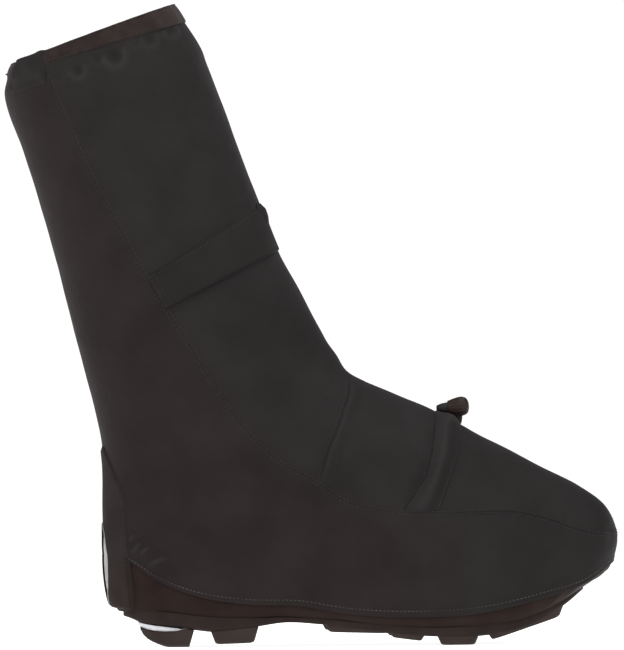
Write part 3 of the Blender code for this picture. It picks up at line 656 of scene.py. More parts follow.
socketTable = {  # further sockets of the shader
    "charcoalCloth": {"Sheen Weight": 0.05, "Sheen Roughness": 0.4, "Sheen Tint": (0.72, 0.70, 0.70, 1.0)},
    "charcoalStrap": {"Sheen Weight": 0.02},
    "brownElastic": {"Sheen Weight": 0.06},
    "paleFloor": {"Emission Color": (1.0, 1.0, 1.0, 1.0), "Emission Strength": 0.92},
}
layerTable = {  # further layers, in the order in which they are laid
    "charcoalCloth": (
        (addStoredTint, "warm", (1.05, 0.90, 0.89), "MULTIPLY"),
        # painted highlight: the crest tone lightens the fold crests and loop rims
        (addStoredTint, "crest", (0.0200, 0.0182, 0.0180), "MIX"),
        # painted shade: darkens creases, loop middles and the cloth under edges
        (addStoredTint, "shade", paintedShadeTone, "MULTIPLY"),
        (addGrain, 95.0, 0.50, 0.0016, 5.0),
        (addWeave, 0.00055, 0.10, 0.0002),
        (addGroove, "seamAway", 0.0011, 0.6, 0.0009),
    ),
    "charcoalStrap": ((addStoredTint, "shade", paintedShadeTone, "MULTIPLY"), (addWeave, 0.0006, 0.12, 0.0002)),
    # painted shade: the rand darker and warmer towards the heel, where the lamps light it more
    "coatedRand": ((addSlopeTint, "X", 0.07, -0.01, (0.82, 0.74, 0.73)),),
    "slickPanel": ((addSlopeTint, "Z", 0.06, 0.02, (1.0, 0.86, 0.84)),),
}


# One finish from its rows: the shader's sockets, the drift between two tones, the grain, the further layers
def makeFinish(name, rough, shine, dark, light, drift, grain=None):
    finish = bpy.data.materials.new(name)
    finish.use_nodes = True
    sockets = {"Roughness": rough, "Specular IOR Level": shine, **socketTable.get(name, {})}
    for key, value in sockets.items():
        shaderOf(finish).inputs[key].default_value = value
    addMottle(finish, dark, light, drift)
    if grain:
        addGrain(finish, *grain)
    for addLayer, *settings in layerTable.get(name, ()):
        addLayer(finish, *settings)
    return finish


finishes = {name: makeFinish(name, *row) for name, row in finishTable.items()}
print("finishes:", len(finishes))

# Upper: columns are closer on the outer side, which the photo shows, and rows are closer at hem and collar
upperSpec = {
    "innerColumns": 96, "hemSteps": 5, "girth": 0.055,
    "outerColumns": ((0.0, 0), (0.80, 100), (1.90, 170), (math.pi, 280)),  # angle from heel, columns
    "hemZone": (0.040, 44), "collarZone": (0.045, 40), "lines": 226,  # reach and lines, lines in all
    "inside": ((19.0, 0), (13.0, 4), (6.0, 18), (0.0, 23)),  # ring and lines so far, closer at the ankle
}
outerTurn, outerCount = np.array(upperSpec["outerColumns"]).T
upperPhi = np.concatenate([
    np.linspace(0, np.pi, upperSpec["innerColumns"], endpoint=False),
    np.pi + np.interp(np.arange(outerCount[-1]), outerCount, outerTurn),
])
hemReach, hemLines = upperSpec["hemZone"]
collarReach, collarLines = upperSpec["collarZone"]
rowWay = (0.0, hemReach, riseTable[-1] - collarReach, riseTable[-1])
rowCount = (0, hemLines, upperSpec["lines"] - collarLines, upperSpec["lines"])
upperRise = np.interp(np.arange(upperSpec["lines"] + 1), rowCount, rowWay)
outerRows = np.interp(upperRise, riseTable, np.arange(len(ringTable)))
insideRing, insideCount = np.array(upperSpec["inside"]).T
insideRows = np.interp(np.arange(insideCount[-1] + 1), insideCount, insideRing)


# Inside from collar to hem, a half circle round the hem's edge, then the dressed outside from hem to collar
def upperGrid():
    wall = lastSpec["wall"]
    inside = dressedAt(upperPhi[None, :], insideRows[:, None], -wall)
    point, normal, upward = frameAt(upperPhi[None, :], np.zeros((1, 1)))
    turn = np.linspace(0, np.pi, upperSpec["hemSteps"] + 2)[1:-1, None, None]
    lift = reliefAt(point, upperPhi[None, :]) * reliefFade(0.0)
    middle = point + normal * (lift - wall / 2)[..., None]
    edge = middle - normal * np.cos(turn) * wall / 2 - upward * np.sin(turn) * wall / 2
    outside = dressedAt(upperPhi[None, :], outerRows[:, None], 0.0)
    return np.concatenate([inside, edge, outside])


upperPoints = upperGrid()
upperRows, upperCols = upperPoints.shape[:2]
seamAway = lineField(*sideView(upperPoints), seamLine)[0] * 0.001
climb = np.concatenate([riseAt(insideRows), np.zeros(upperSpec["hemSteps"]), riseAt(outerRows)])
upperFaces = gridQuads(upperRows, upperCols, wrapRows=True, wrapCols=True)
upperCloth = addPiece(
    "upperCloth", upperPoints, upperFaces.tolist(), "charcoalCloth", ("upper",), "fabric",
    values={
        "seamAway": seamAway, "crest": paintedHighlightAt(upperPoints), "shade": paintedShadeAt(upperPoints),
        "warm": warmAt(upperPoints),
    },
    uv=np.stack(np.broadcast_arrays(upperPhi[None, :] * upperSpec["girth"], climb[:, None]), axis=-1),
)
paintFaces(upperCloth, "darkLining", np.ones((len(insideRows) - 1) * upperCols))
print("upper:", len(upperFaces) * 2, "triangles")

# Rand: the coated cloth below the hem, one wall further in, turning under to the plate
randSpec = {
    "tuck": 0.0017, "wall": 0.0014, "topRow": 0.45, "rows": 46, "columns": 300, "wave": 0.00025,
    "flange": 0.014, "flangeRows": 9, "sink": 0.0006, "spine": (0.030, 0.270),
}


# The last's own surface a tuck further in, with a slight waviness that dies out at both edges; from its foot
# a flange goes on inwards to the foot's middle line and sinks a little into the plate's top
def randGrid(depth):
    phi = np.linspace(0, 2 * np.pi, randSpec["columns"], endpoint=False)[None, :]
    row = np.linspace(-1.0, randSpec["topRow"], randSpec["rows"])[:, None]
    point, normal, _ = frameAt(phi, row)
    wave = np.sin(phi * 19 + 2 * np.sin(phi * 7)) * np.sin(np.clip(-row, 0, 1) * np.pi) * randSpec["wave"]
    skin = point - normal * (depth - wave)[..., None]
    foot = skin[:1]
    spineX = np.clip(foot[..., 0], *randSpec["spine"])
    inward = unit(np.stack([spineX, centreLine(spineX)], axis=-1) - foot[..., :2])
    share = np.linspace(1, 0, randSpec["flangeRows"] + 1)[:-1, None]
    plan = foot[..., :2] + inward * (share * randSpec["flange"])[..., None]
    climb = plateTop(plan[..., 0]) - plateTop(foot[..., 0])
    z = foot[..., 2] + climb - randSpec["sink"] * smoothStep(3 * share)
    return np.concatenate([np.concatenate([plan, z[..., None]], axis=-1), skin])


randOuter, randInner = randGrid(randSpec["tuck"]), randGrid(randSpec["tuck"] + randSpec["wall"])
randShell = np.concatenate([randOuter, randInner[::-1]])
randFaces = gridQuads(len(randShell), randSpec["columns"], wrapRows=True, wrapCols=True)
addPiece("randSkin", randShell, randFaces.tolist(), "coatedRand", ("rand",), "coated_fabric")
print("rand:", len(randFaces) * 2, "triangles")

# Sole plate and lugs
soleSpec = {
    "share": 0.45, "back": 0.0120, "front": 0.2845, "trim": 0.0006, "stations": 190, "section": 48,
    "roundness": 5.0, "squareness": 40.0, "lugColumns": 56, "lugRows": 24,
    "lugs": (  # reach along x, height of the foot face at its back and front, set-back of the inner lug
        (0.0662, 0.0905, 0.0016, 0.0024, 0.0), (0.1330, 0.1675, 0.0082, 0.0072, 0.002),
        (0.1705, 0.1885, 0.0048, 0.0024, 0.002), (0.1990, 0.2200, 0.0, 0.0, 0.0),
        (0.2290, 0.2700, 0.0024, 0.0158, 0.0),
    ),
    "innerY": 0.013, "draft": 0.0016, "inset": 0.0010, "root": 0.0018, "lugEdge": 0.22, "rimRise": 0.0015,
}
hemRing = dict(zip(ringNames, ringTable[0]))
plateRing = {key: between((soleRing[key], hemRing[key]), soleSpec["share"]) for key in ringNames}
plateRing["backX"], plateRing["frontX"] = soleSpec["back"], soleSpec["front"]


# Outer and inner edge of the plate at x: the superellipse of its ring solved for y
def plateSides(x):
    along = (x - plateRing["backX"]) / (plateRing["frontX"] - plateRing["backX"])
    ahead = along >= plateRing["widest"]
    power = np.where(ahead, plateRing["frontPower"], plateRing["backPower"])
    room = np.where(ahead, 1 - plateRing["widest"], plateRing["widest"])
    full = (1 - np.clip(np.abs(along - plateRing["widest"]) / room, 0, 1) ** power) ** (1 / power)
    pinch, middle = waistPinch(x), centreLine(x)
    return middle - full * (plateRing["lateral"] - pinch / 3), middle + full * (plateRing["medial"] - pinch)


# A bar along x: each section is a superellipse, rounded below by its power and nearly square above, where its
# rim may stand higher than its middle
def barRings(x, left, right, low, top, count, power, rimRise=0.0):
    turn = np.linspace(0, 2 * np.pi, count, endpoint=False)[None, :]
    c, s = np.cos(turn), np.sin(turn)
    bend = np.where(s > 0, 2 / soleSpec["squareness"], 2 / power)
    across, upward = np.sign(c) * np.abs(c) ** bend, np.sign(s) * np.abs(s) ** bend
    y = ((left + right) / 2)[:, None] + across * ((right - left) / 2)[:, None]
    z = ((low + top) / 2)[:, None] + upward * ((top - low) / 2)[:, None]
    z = z + rimRise * (s > 0.05) * across**2
    return np.stack([np.broadcast_to(x[:, None], y.shape), y, z], axis=-1)


# A lug: a superellipsoid squared off by its power, mapped between its ends, sides, root and foot face
def lugBlock(lug, side):
    back, front, lowBack, lowFront, setBack = lug
    shift = setBack if side > 0 else 0.0
    turn = np.linspace(-np.pi, np.pi, soleSpec["lugColumns"], endpoint=False)[None, :]
    tilt = np.linspace(-np.pi / 2, np.pi / 2, soleSpec["lugRows"] + 2)[1:-1, None]
    edge = soleSpec["lugEdge"]
    flat = np.abs(np.cos(tilt)) ** edge
    a = flat * np.sign(np.cos(turn)) * np.abs(np.cos(turn)) ** edge
    b = flat * np.sign(np.sin(turn)) * np.abs(np.sin(turn)) ** edge
    up = (1 + np.sign(np.sin(tilt)) * np.abs(np.sin(tilt)) ** edge) / 2 + 0 * turn
    spread = soleSpec["draft"] * (2 * up - 1)
    x = (back + front) / 2 - shift + a * ((front - back) / 2 + spread + soleSpec["draft"] / 2)
    left, right = plateSides(x)
    outer = np.where(side < 0, left, right) - side * soleSpec["inset"]
    inner = centreLine(x) + side * soleSpec["innerY"]
    y = (outer + inner) / 2 - side * b * (np.abs(outer - inner) / 2 + spread / 2 - soleSpec["draft"] / 4)
    share = np.clip((x + shift - back) / (front - back), 0, 1)
    low = between((lowBack, lowFront), share)
    z = between((low, plateBottom(x) + soleSpec["root"]), up)
    return ringBody(np.stack([x, y, z], axis=-1))


sweep = (1 - np.cos(np.linspace(0, np.pi, soleSpec["stations"]))) / 2
plateX = between((soleSpec["back"] + soleSpec["trim"], soleSpec["front"] - soleSpec["trim"]), sweep)
platePoints, plateFaces = ringBody(barRings(
    plateX, *plateSides(plateX), plateBottom(plateX), plateTop(plateX) - lastSpec["gap"],
    soleSpec["section"], soleSpec["roundness"], soleSpec["rimRise"],
))
solePoints, soleFaces = [platePoints], list(plateFaces)
for lugSpec in soleSpec["lugs"]:
    for sideSign in (-1.0, 1.0):
        lugPoints, lugFaces = lugBlock(lugSpec, sideSign)
        start = sum(len(block) for block in solePoints)
        soleFaces += [[start + i for i in face] for face in lugFaces]
        solePoints.append(lugPoints)
solePoints = np.concatenate(solePoints)
outsole = addPiece("outsoleRubber", solePoints, soleFaces, "brownRubber", ("outsole",), "rubber")
paintFaces(outsole, "darkRubber", np.ones(len(plateFaces)))

# Rear heel lug and the pale wedge above it, as bars over the same cuts
heelSpec = {
    "cuts": np.array((  # x, underside of the lug, top of the lug
        (0.0226, 0.0106, 0.0122), (0.0244, 0.0074, 0.0113), (0.0268, 0.0050, 0.0104),
        (0.0298, 0.0032, 0.0097), (0.0338, 0.0015, 0.0093), (0.0372, 0.0004, 0.0092),
        (0.0395, 0.0, 0.0092), (0.0435, 0.0, 0.0094), (0.0470, 0.0, 0.0098), (0.0514, 0.0, 0.0103),
        (0.0538, 0.0080, 0.0106),
    )),
    "tipX": 0.0510, "taper": 0.0070, "inset": 0.0015, "wedge": (0.0214, 0.0130), "bite": 0.0006,
    "thin": 0.0003, "lugLines": 70, "lugSection": 56, "lugRoundness": 7.0,
    "wedgeLines": 50, "wedgeSection": 48, "wedgeRoundness": 9.0,
}


# The seat of the wedge on the lug, which climbs over a short taper to the plate at the wedge's front tip
def wedgeSeat(x):
    seatX = np.concatenate([[heelSpec["wedge"][0]], heelSpec["cuts"][:, 0]])
    seatZ = np.concatenate([[heelSpec["wedge"][1]], heelSpec["cuts"][:, 2]])
    seat = np.interp(x, seatX, seatZ)
    full = smoothStep((x - heelSpec["tipX"]) / heelSpec["taper"] + 1.0)
    return between((seat, plateBottom(x) + heelSpec["bite"]), full)


# The lug as a bar: its underside follows the cuts, its top the wedge's seat
def heelRings():
    x = np.linspace(heelSpec["cuts"][0, 0], heelSpec["cuts"][-1, 0], heelSpec["lugLines"])
    left, right = plateSides(x)
    low = np.interp(x, heelSpec["cuts"][:, 0], heelSpec["cuts"][:, 1])
    left, right = left + heelSpec["inset"], right - heelSpec["inset"]
    return barRings(x, left, right, low, wedgeSeat(x), heelSpec["lugSection"], heelSpec["lugRoundness"])


# The wedge as a bar between the lug's seat and the plate, thinning out to a tip at its back
def wedgeRings():
    x = np.linspace(heelSpec["wedge"][0], heelSpec["tipX"], heelSpec["wedgeLines"])
    left, right = plateSides(x)
    low = wedgeSeat(x)
    top = np.maximum(plateBottom(x), low + heelSpec["thin"])
    left, right = left + 2 * heelSpec["inset"], right - 2 * heelSpec["inset"]
    return barRings(x, left, right, low, top, heelSpec["wedgeSection"], heelSpec["wedgeRoundness"])


addPiece("heelLugRubber", *ringBody(heelRings()), "brownRubber", ("heel_lug",), "rubber")
addPiece("heelWedgeFoam", *ringBody(wedgeRings()), "greyFoam", ("heel_wedge",), "grey_foam")
print("sole: plate,", 2 * len(soleSpec["lugs"]), "lugs, heel lug and wedge")

# Overlay edges are lines seen from the side; these tables find where the form crosses them
edgePhi = np.linspace(0.0, 1.9, 240)
edgeRows = np.linspace(0.2, 11.5, 900)


# How far each place of a grid lies ahead of a line x(z) seen from the side
def aheadOf(line, grid):
    points = np.array(line) * 0.001
    return grid[..., 0] - np.interp(grid[..., 2], points[:, 1], points[:, 0])


# Row at which each column crosses a line, and the height there
def columnCrossing(line):
    row = firstCrossing(aheadOf(line, formAt(edgePhi[:, None], edgeRows[None, :])), edgeRows)
    return row, formAt(edgePhi, row)[..., 2]


# Column at which each row crosses a line, counted from the toe
def rowCrossing(line, rows, firstPhi, lastPhi):
    phi = np.linspace(firstPhi, lastPhi, 500)
    return firstCrossing(aheadOf(line, formAt(phi[None, :], rows[:, None])), phi)


# A band over the instep between two edge lines, both ending at the same height on either side: s runs over
# the foot from one side to the other, t from the back edge to the front edge
def instepBand(spec, s, t):
    limits, rowTables = [], []
    for line in (spec["back"], spec["front"]):
        row, height = columnCrossing(line)
        limits.append(np.interp(-spec["endZ"] * 0.001, -height, edgePhi))
        rowTables.append(row)
    phi = s * between(limits, t)
    rows = [np.interp(np.abs(phi), edgePhi, table) for table in rowTables]
    return phi, between(rows, t)


# Columns and lines of an overlay's grid, each evenly spread by its first value, last value and count
def evenGrid(spec):
    return np.linspace(*spec["columns"])[None, :], np.linspace(*spec["lines"])[:, None]


# Instep tunnel: a crowned band, with a valley along its back edge that opens downwards into a fold
tunnelSpec = {
    "piece": ("tunnelCloth", "charcoalCloth", "instep_tunnel", "fabric"), "clothSize": (0.11, 0.014),
    "columns": (-1, 1, 220), "lines": (1, 0, 60),
    "back": ((178.4, 80.4), (191.8, 98.9), (195.4, 114.1), (196.8, 125.4), (197.2, 133.2), (197.2, 150.0)),
    "front": ((199.7, 80.4), (204.2, 93.0), (210.6, 110.0), (212.2, 125.2), (211.6, 131.0), (211.4, 150.0)),
    "endZ": 79.2, "base": 0.0003, "edge": 0.0002, "roll": 0.0028, "lip": 0.0003, "sink": 0.0004,
    # Amounts of painted highlight on the crown and of painted shade in the valley, on the front fold and
    # along the front edge
    "crest": 0.55, "valley": 0.8, "fold": 0.40, "edgeShade": 0.45,
    "side": (0.10, 0.24), "rollEnd": (0.72, 0.28), "lipEnd": (0.75, 0.2),  # start and distance down the side
    "shadeSide": (0.08, 0.2), "shadeLow": (0.5, 0.2), "rollLoss": 0.4, "lipLoss": 0.6,
    "crestT": (0.64, 0.42), "backWide": (0.42, 0.26), "aheadWide": (0.28, 0.34),  # on top, down the side
    "highlightT": (0.56, 0.38), "highlightWide": 0.13, "valleyWide": 0.05, "foldT": 0.74, "foldWide": 0.15,
    "edgeWide": 0.04, "edgePower": 6,
}


# A roll that is full over the ridge, under the cord lock; down the side a lip behind it shades a valley
def tunnelLift(s, t):
    down = np.abs(s)
    side = stepFrom(down, *tunnelSpec["side"])
    crest = between(tunnelSpec["crestT"], side)
    wide = np.where(t < crest, between(tunnelSpec["backWide"], side), between(tunnelSpec["aheadWide"], side))
    roll = bell((t - crest) / wide) * (1 - tunnelSpec["rollLoss"] * stepFrom(down, *tunnelSpec["rollEnd"]))
    lip = smoothStep(t / 0.10) * smoothStep((0.24 - t) / 0.08)
    lip = lip * side * (1 - tunnelSpec["lipLoss"] * stepFrom(down, *tunnelSpec["lipEnd"]))
    edge = 1 - np.abs(2 * t - 1) ** tunnelSpec["edgePower"]
    lift = tunnelSpec["base"] + tunnelSpec["edge"] * edge + tunnelSpec["roll"] * roll
    return (lift + tunnelSpec["lip"] * lip) * smoothStep((1 - down) / 0.04 + 0.25)


tunnelS, tunnelT = evenGrid(tunnelSpec)
tunnelPhi, tunnelRow = instepBand(tunnelSpec, tunnelS, tunnelT)
tunnelOut = np.abs(tunnelS)
tunnelDown = stepFrom(tunnelOut, *tunnelSpec["shadeSide"])
tunnelLow = stepFrom(tunnelOut, *tunnelSpec["shadeLow"])
# Painted highlight along the crown; painted shade in the valley behind the back edge, on the front fold and
# along the front edge low down the side
tunnelHighlight = bell((tunnelT - between(tunnelSpec["highlightT"], tunnelDown)) / tunnelSpec["highlightWide"])
tunnelValleyShade = tunnelSpec["valley"] * bell(tunnelT / tunnelSpec["valleyWide"])
tunnelFoldShade = tunnelSpec["fold"] * bell((tunnelT - tunnelSpec["foldT"]) / tunnelSpec["foldWide"])
tunnelEdgeShade = tunnelSpec["edgeShade"] * bell((tunnelT - 1.0) / tunnelSpec["edgeWide"]) * tunnelLow
tunnelShade = (tunnelValleyShade + tunnelFoldShade) * tunnelDown + tunnelEdgeShade
addOverlay(
    tunnelSpec, dressedAt(tunnelPhi, tunnelRow, tunnelLift(tunnelS, tunnelT)),
    dressedAt(tunnelPhi, tunnelRow, -tunnelSpec["sink"]),
    {"crest": tunnelSpec["crest"] * tunnelHighlight, "shade": tunnelShade}, (tunnelS, tunnelT),
)

# Vamp pleat: a raised lip that drops into a crease, then a soft ridge that runs out flat towards the toe
pleatSpec = {
    "piece": ("pleatCloth", "charcoalCloth", "vamp_pleat", "fabric"), "clothSize": (0.10, 0.009),
    "columns": (-1, 1, 200), "lines": (1, 0, 72),
    "line": (
        (127.4, 93.6), (133.6, 114.6), (138.4, 125.8), (142.6, 136.9), (146.2, 148.1), (147.8, 158.0),
        (148.4, 170.0),
    ),
    "ahead": 9.0, "behind": 2.6, "endZ": 93.6, "lip": 0.0006, "ridge": 0.0015, "skim": 0.00006,
    # Amounts and places of the painted highlight on the ridge and the painted shade in the crease
    "sink": 0.0004, "crest": 0.35, "shade": 0.30, "crestT": 0.44, "crestWide": 0.13,
    "creaseT": 0.27, "creaseWide": 0.04, "ridgeFrom": (0.24, 0.20), "sideFrom": (0.04, 0.36),
}
pleatSpec["back"] = [(x - pleatSpec["behind"], z) for x, z in pleatSpec["line"]]
pleatSpec["front"] = [(x + pleatSpec["ahead"], z) for x, z in pleatSpec["line"]]
pleatS, pleatT = evenGrid(pleatSpec)
pleatPhi, pleatRow = instepBand(pleatSpec, pleatS, pleatT)
pleatLip = smoothStep(pleatT / 0.18) * smoothStep((0.30 - pleatT) / 0.10)
pleatRidge = stepFrom(pleatT, *pleatSpec["ridgeFrom"]) * smoothStep((1 - pleatT) / 0.6)
pleatOut = np.abs(pleatS)
pleatFade = smoothStep((1 - pleatOut) / 0.12 + 0.1) * stepFrom(pleatOut, *pleatSpec["sideFrom"])
pleatLift = (pleatSpec["lip"] * pleatLip + pleatSpec["ridge"] * pleatRidge) * pleatFade + pleatSpec["skim"]
# Painted highlight on the ridge and painted shade in the crease
pleatHighlight = pleatSpec["crest"] * bell((pleatT - pleatSpec["crestT"]) / pleatSpec["crestWide"]) * pleatFade
pleatShade = pleatSpec["shade"] * bell((pleatT - pleatSpec["creaseT"]) / pleatSpec["creaseWide"]) * pleatFade
addOverlay(
    pleatSpec, dressedAt(pleatPhi, pleatRow, pleatLift), dressedAt(pleatPhi, pleatRow, -pleatSpec["sink"]),
    {"crest": pleatHighlight, "shade": pleatShade}, (pleatS, pleatT),
)

# Heel panel: rows up the back, each from its edge on one side to its edge on the other
panelSpec = {
    "piece": ("heelPanelSlick", "slickPanel", "heel_panel", "slick_panel"),
    "edge": (
        (18.6, 22.0), (17.4, 39.4), (16.5, 53.0), (15.4, 60.6), (15.3, 73.4), (14.5, 85.0), (12.3, 93.0),
        (8.5, 103.4), (5.0, 111.5), (2.0, 118.6), (-3.0, 126.0),
    ),
    "columns": (-1, 1, 70), "lowRow": -0.78, "topRow": 9.0, "lowLines": 30, "highLines": 94,
    "lift": 0.0009, "turnIn": 0.0019, "skim": 0.00005, "sink": 0.0003,
}
panelRow = np.concatenate([
    np.linspace(panelSpec["lowRow"], 0, panelSpec["lowLines"]),
    np.linspace(0, panelSpec["topRow"], panelSpec["highLines"] + 1)[1:],
])
panelEdgePhi = rowCrossing(panelSpec["edge"], panelRow, 1.7, np.pi - 0.004)
panelT, panelFull = np.linspace(*panelSpec["columns"])[None, :], panelRow[:, None]
panelPhi = np.pi + panelT * (np.pi - panelEdgePhi[:, None])
panelRim = np.minimum(1 - np.abs(panelT), (panelFull - panelSpec["lowRow"]) / 1.6)
panelTop = smoothStep((panelSpec["topRow"] - panelFull) / 0.7)
panelFace = smoothStep(panelRim / 0.10 + 0.05)
panelLow = panelSpec["turnIn"] * smoothStep(0.6 - panelFull)
panelBase = lastSpec["gap"] + panelSpec["lift"]
panelLift = panelTop * panelBase * panelFace - panelLow * (1 - panelFace) + panelSpec["skim"]
addOverlay(
    panelSpec, dressedAt(panelPhi, panelFull, panelLift),
    dressedAt(panelPhi, panelFull, -panelSpec["sink"] - panelLow),
)

# Back strip: a leaf-shaped film on the heel panel under a dark tape of one width; at each height a column is
# found where y is the wanted half width
stripSpec = {
    "piece": ("backStripFilm", "reflectiveFilm", "back_strip", "reflective"),
    "columns": (-1, 1, 41), "lines": (0.004, 0.996, 90), "heights": (0.025, 0.074), "leafPower": 0.45,
    "half": 0.0158, "tape": 0.0120, "lift": 0.0007, "sink": 0.0004,
}
stripT, stripShare = evenGrid(stripSpec)
stripZ = between(stripSpec["heights"], stripShare)
backRow = np.linspace(-0.9, 5.0, 400)
stripRow = np.interp(stripZ, formAt(np.pi, backRow)[:, 2], backRow)
stripPhiTable = np.pi - np.linspace(0, 0.9, 300) ** 1.6
stripAcross = formAt(stripPhiTable[None, :], stripRow)[..., 1]
stripHalf = stripSpec["half"] * np.sin(stripShare * np.pi) ** stripSpec["leafPower"]
tapeHalf = np.minimum(stripHalf, stripSpec["tape"])
stripOut = np.abs(stripT)
stripY = np.minimum(2 * stripOut, 1) * tapeHalf + np.maximum(2 * stripOut - 1, 0) * (stripHalf - tapeHalf)
stripTurn = np.stack([np.pi - np.interp(y, across, stripPhiTable) for y, across in zip(stripY, stripAcross)])
stripPhi = np.pi + np.sign(stripT) * stripTurn
stripRim = np.minimum(1 - stripOut, 6 * np.minimum(stripShare, 1 - stripShare))
stripLift = panelBase + stripSpec["lift"] * smoothStep(stripRim / 0.25 + 0.2)
backStrip = addOverlay(
    stripSpec, dressedAt(stripPhi, stripRow, stripLift),
    dressedAt(stripPhi, stripRow, panelBase - stripSpec["sink"]),
)
tapeFaces = np.abs(stripT[0, 1:] + stripT[0, :-1]) / 2 < 0.5
paintFaces(backStrip, "darkTape", np.tile(tapeFaces, len(stripShare) - 1))

# Ankle strap: rows between two rings, from its slanted end on one side round the front to the other side
strapSpec = {
    "piece": ("ankleStrapWeb", "charcoalStrap", "ankle_strap", "webbing"), "clothSize": (0.05, 0.028),
    "columns": (-1, 1, 260), "lines": (0, 1, 34),
    "end": ((40.2, 197.0), (27.2, 222.6)), "lowRow": 12.0, "topRow": 13.0, "lift": 0.0011, "loose": 0.0012,
    "droop": 0.20, "wave": 0.00025, "sink": 0.0003,
}


# How far the upper edge hangs below its ring, in rows: none at the front, most at the sewn end
def strapDroop(s):
    return strapSpec["droop"] * np.abs(s)


strapS, strapT = evenGrid(strapSpec)
strapRow = strapSpec["lowRow"] + strapT * (strapSpec["topRow"] - strapSpec["lowRow"] - strapDroop(strapS))
strapEndRow = strapRow[:, -1]
strapEndPhi = rowCrossing(strapSpec["end"], strapEndRow, 0.5, 2.9)
strapPhi = strapS * strapEndPhi[:, None]
strapOut = np.abs(strapS)
strapRim = smoothStep(strapT / 0.05 + 0.4) * smoothStep((1 - strapT) / 0.30 + 0.04)
strapRim = strapRim * (0.75 + 0.25 * smoothStep(strapOut / 0.4))
strapSag = strapSpec["loose"] * (1 - strapT) ** 2 * (1 - strapS**8) * smoothStep(strapOut / 0.5)
strapLift = lastSpec["gap"] + strapSpec["lift"] * strapRim + strapSag
strapLift = strapLift * smoothStep((1 - strapOut) / 0.02 + 0.3)
strapLift = strapLift + strapSpec["wave"] * np.sin(strapPhi * 9 + 2 * strapT) * (1 - strapT)
# The strap carries a painted shadow along its lower edge
addOverlay(
    strapSpec, dressedAt(strapPhi, strapRow, strapLift),
    dressedAt(strapPhi, strapRow, 0.9 * strapSag - strapSpec["sink"]),
    {"shade": bell(strapT / 0.05)}, (strapPhi, strapT),
)

# Strap tab: the doubled end, on top of the strap at the front
tabSpec = {
    "piece": ("strapTabWeb", "charcoalStrap", "strap_tab", "webbing"), "clothSize": (0.05, 0.015),
    "columns": (0, 1, 110), "lines": (0, 1, 26), "ends": (-0.2856, 1.0), "rows": (12.46, 13.02),
    "lift": 0.0009, "sink": 0.0008, "onStrap": 0.3,  # share of the strap's lift that lies under its edge
}
tabS, tabT = evenGrid(tabSpec)
tabPhi, tabRow = between(tabSpec["ends"], tabS), between(tabSpec["rows"], tabT)
tabNear = np.minimum(np.minimum(tabS, 1 - tabS) * 2, np.minimum(0.5 * tabT, 1 - tabT))
tabBase = lastSpec["gap"] + tabSpec["onStrap"] * strapSpec["lift"]
tabTop = tabSpec["lift"] + (1 - tabSpec["onStrap"]) * strapSpec["lift"]
tabLift = tabBase + tabTop * smoothStep(tabNear / 0.3 + 0.05)
addOverlay(
    tabSpec, dressedAt(tabPhi, tabRow, tabLift), dressedAt(tabPhi, tabRow, tabBase - tabSpec["sink"]),
    cloth=(tabPhi, tabT),
)
print("overlays: tunnel, pleat, heel panel, back strip, strap and its tab")

# Collar binding: a folded tape, its section a long loop over the collar's edge, gathered by small waves
bindingSpec = {
    "columns": 720, "lines": 9, "face": 0.0012, "rimFace": 0.55, "top": 0.0011, "bite": 0.0003,
    "waves": 88, "wave": 0.00005, "slowWaves": 23, "slow": 0.00015,
}


# The section goes up the outside, over the edge in a half turn, down the inside and back up within the wall
def bindingGrid():
    phi = np.linspace(0, 2 * np.pi, bindingSpec["columns"], endpoint=False)[None, :]
    wall, face, bite = lastSpec["wall"], bindingSpec["face"], bindingSpec["bite"]
    rise = np.linspace(0, 1, bindingSpec["lines"])
    turn = np.linspace(0, np.pi, bindingSpec["lines"])[1:-1]
    bulge = face * between((bindingSpec["rimFace"], 1), np.sin(rise * np.pi) ** 0.5)
    rowPart = np.concatenate([rise, np.ones(len(turn)), rise[::-1], [0.0, 1.0, 1.0, 0.0]])
    over = (wall / 2 + face) * np.cos(turn) - wall / 2
    within = [bite - wall, bite - wall, -bite, -bite]
    offset = np.concatenate([bulge, over, -wall - bulge[::-1], within])
    above = np.concatenate([0 * rise, np.sin(turn) * bindingSpec["top"], 0 * rise, np.zeros(len(within))])
    shown = np.arange(len(offset)) < len(offset) - len(within)
    row = between((neckRow, collarRow), rowPart[:, None])
    point, normal, upward = frameAt(*np.broadcast_arrays(phi, row))
    wave = np.sin(phi * bindingSpec["waves"] + 2.2 * np.sin(phi * 11)) * np.sin(phi / 2) ** 2
    slow = np.sin(phi * bindingSpec["slowWaves"] + 1.4 * np.sin(phi * 5))
    gather = bindingSpec["wave"] * wave + bindingSpec["slow"] * slow
    lift = offset[:, None] + gather * (shown * np.sign(offset + wall / 2))[:, None]
    return point + normal * lift[..., None] + upward * above[:, None, None]


bindingPoints = bindingGrid()
bindingFaces = gridQuads(*bindingPoints.shape[:2], wrapRows=True, wrapCols=True)[:, ::-1].tolist()
addPiece("bindingElastic", bindingPoints, bindingFaces, "brownElastic", ("collar_binding",), "elastic")

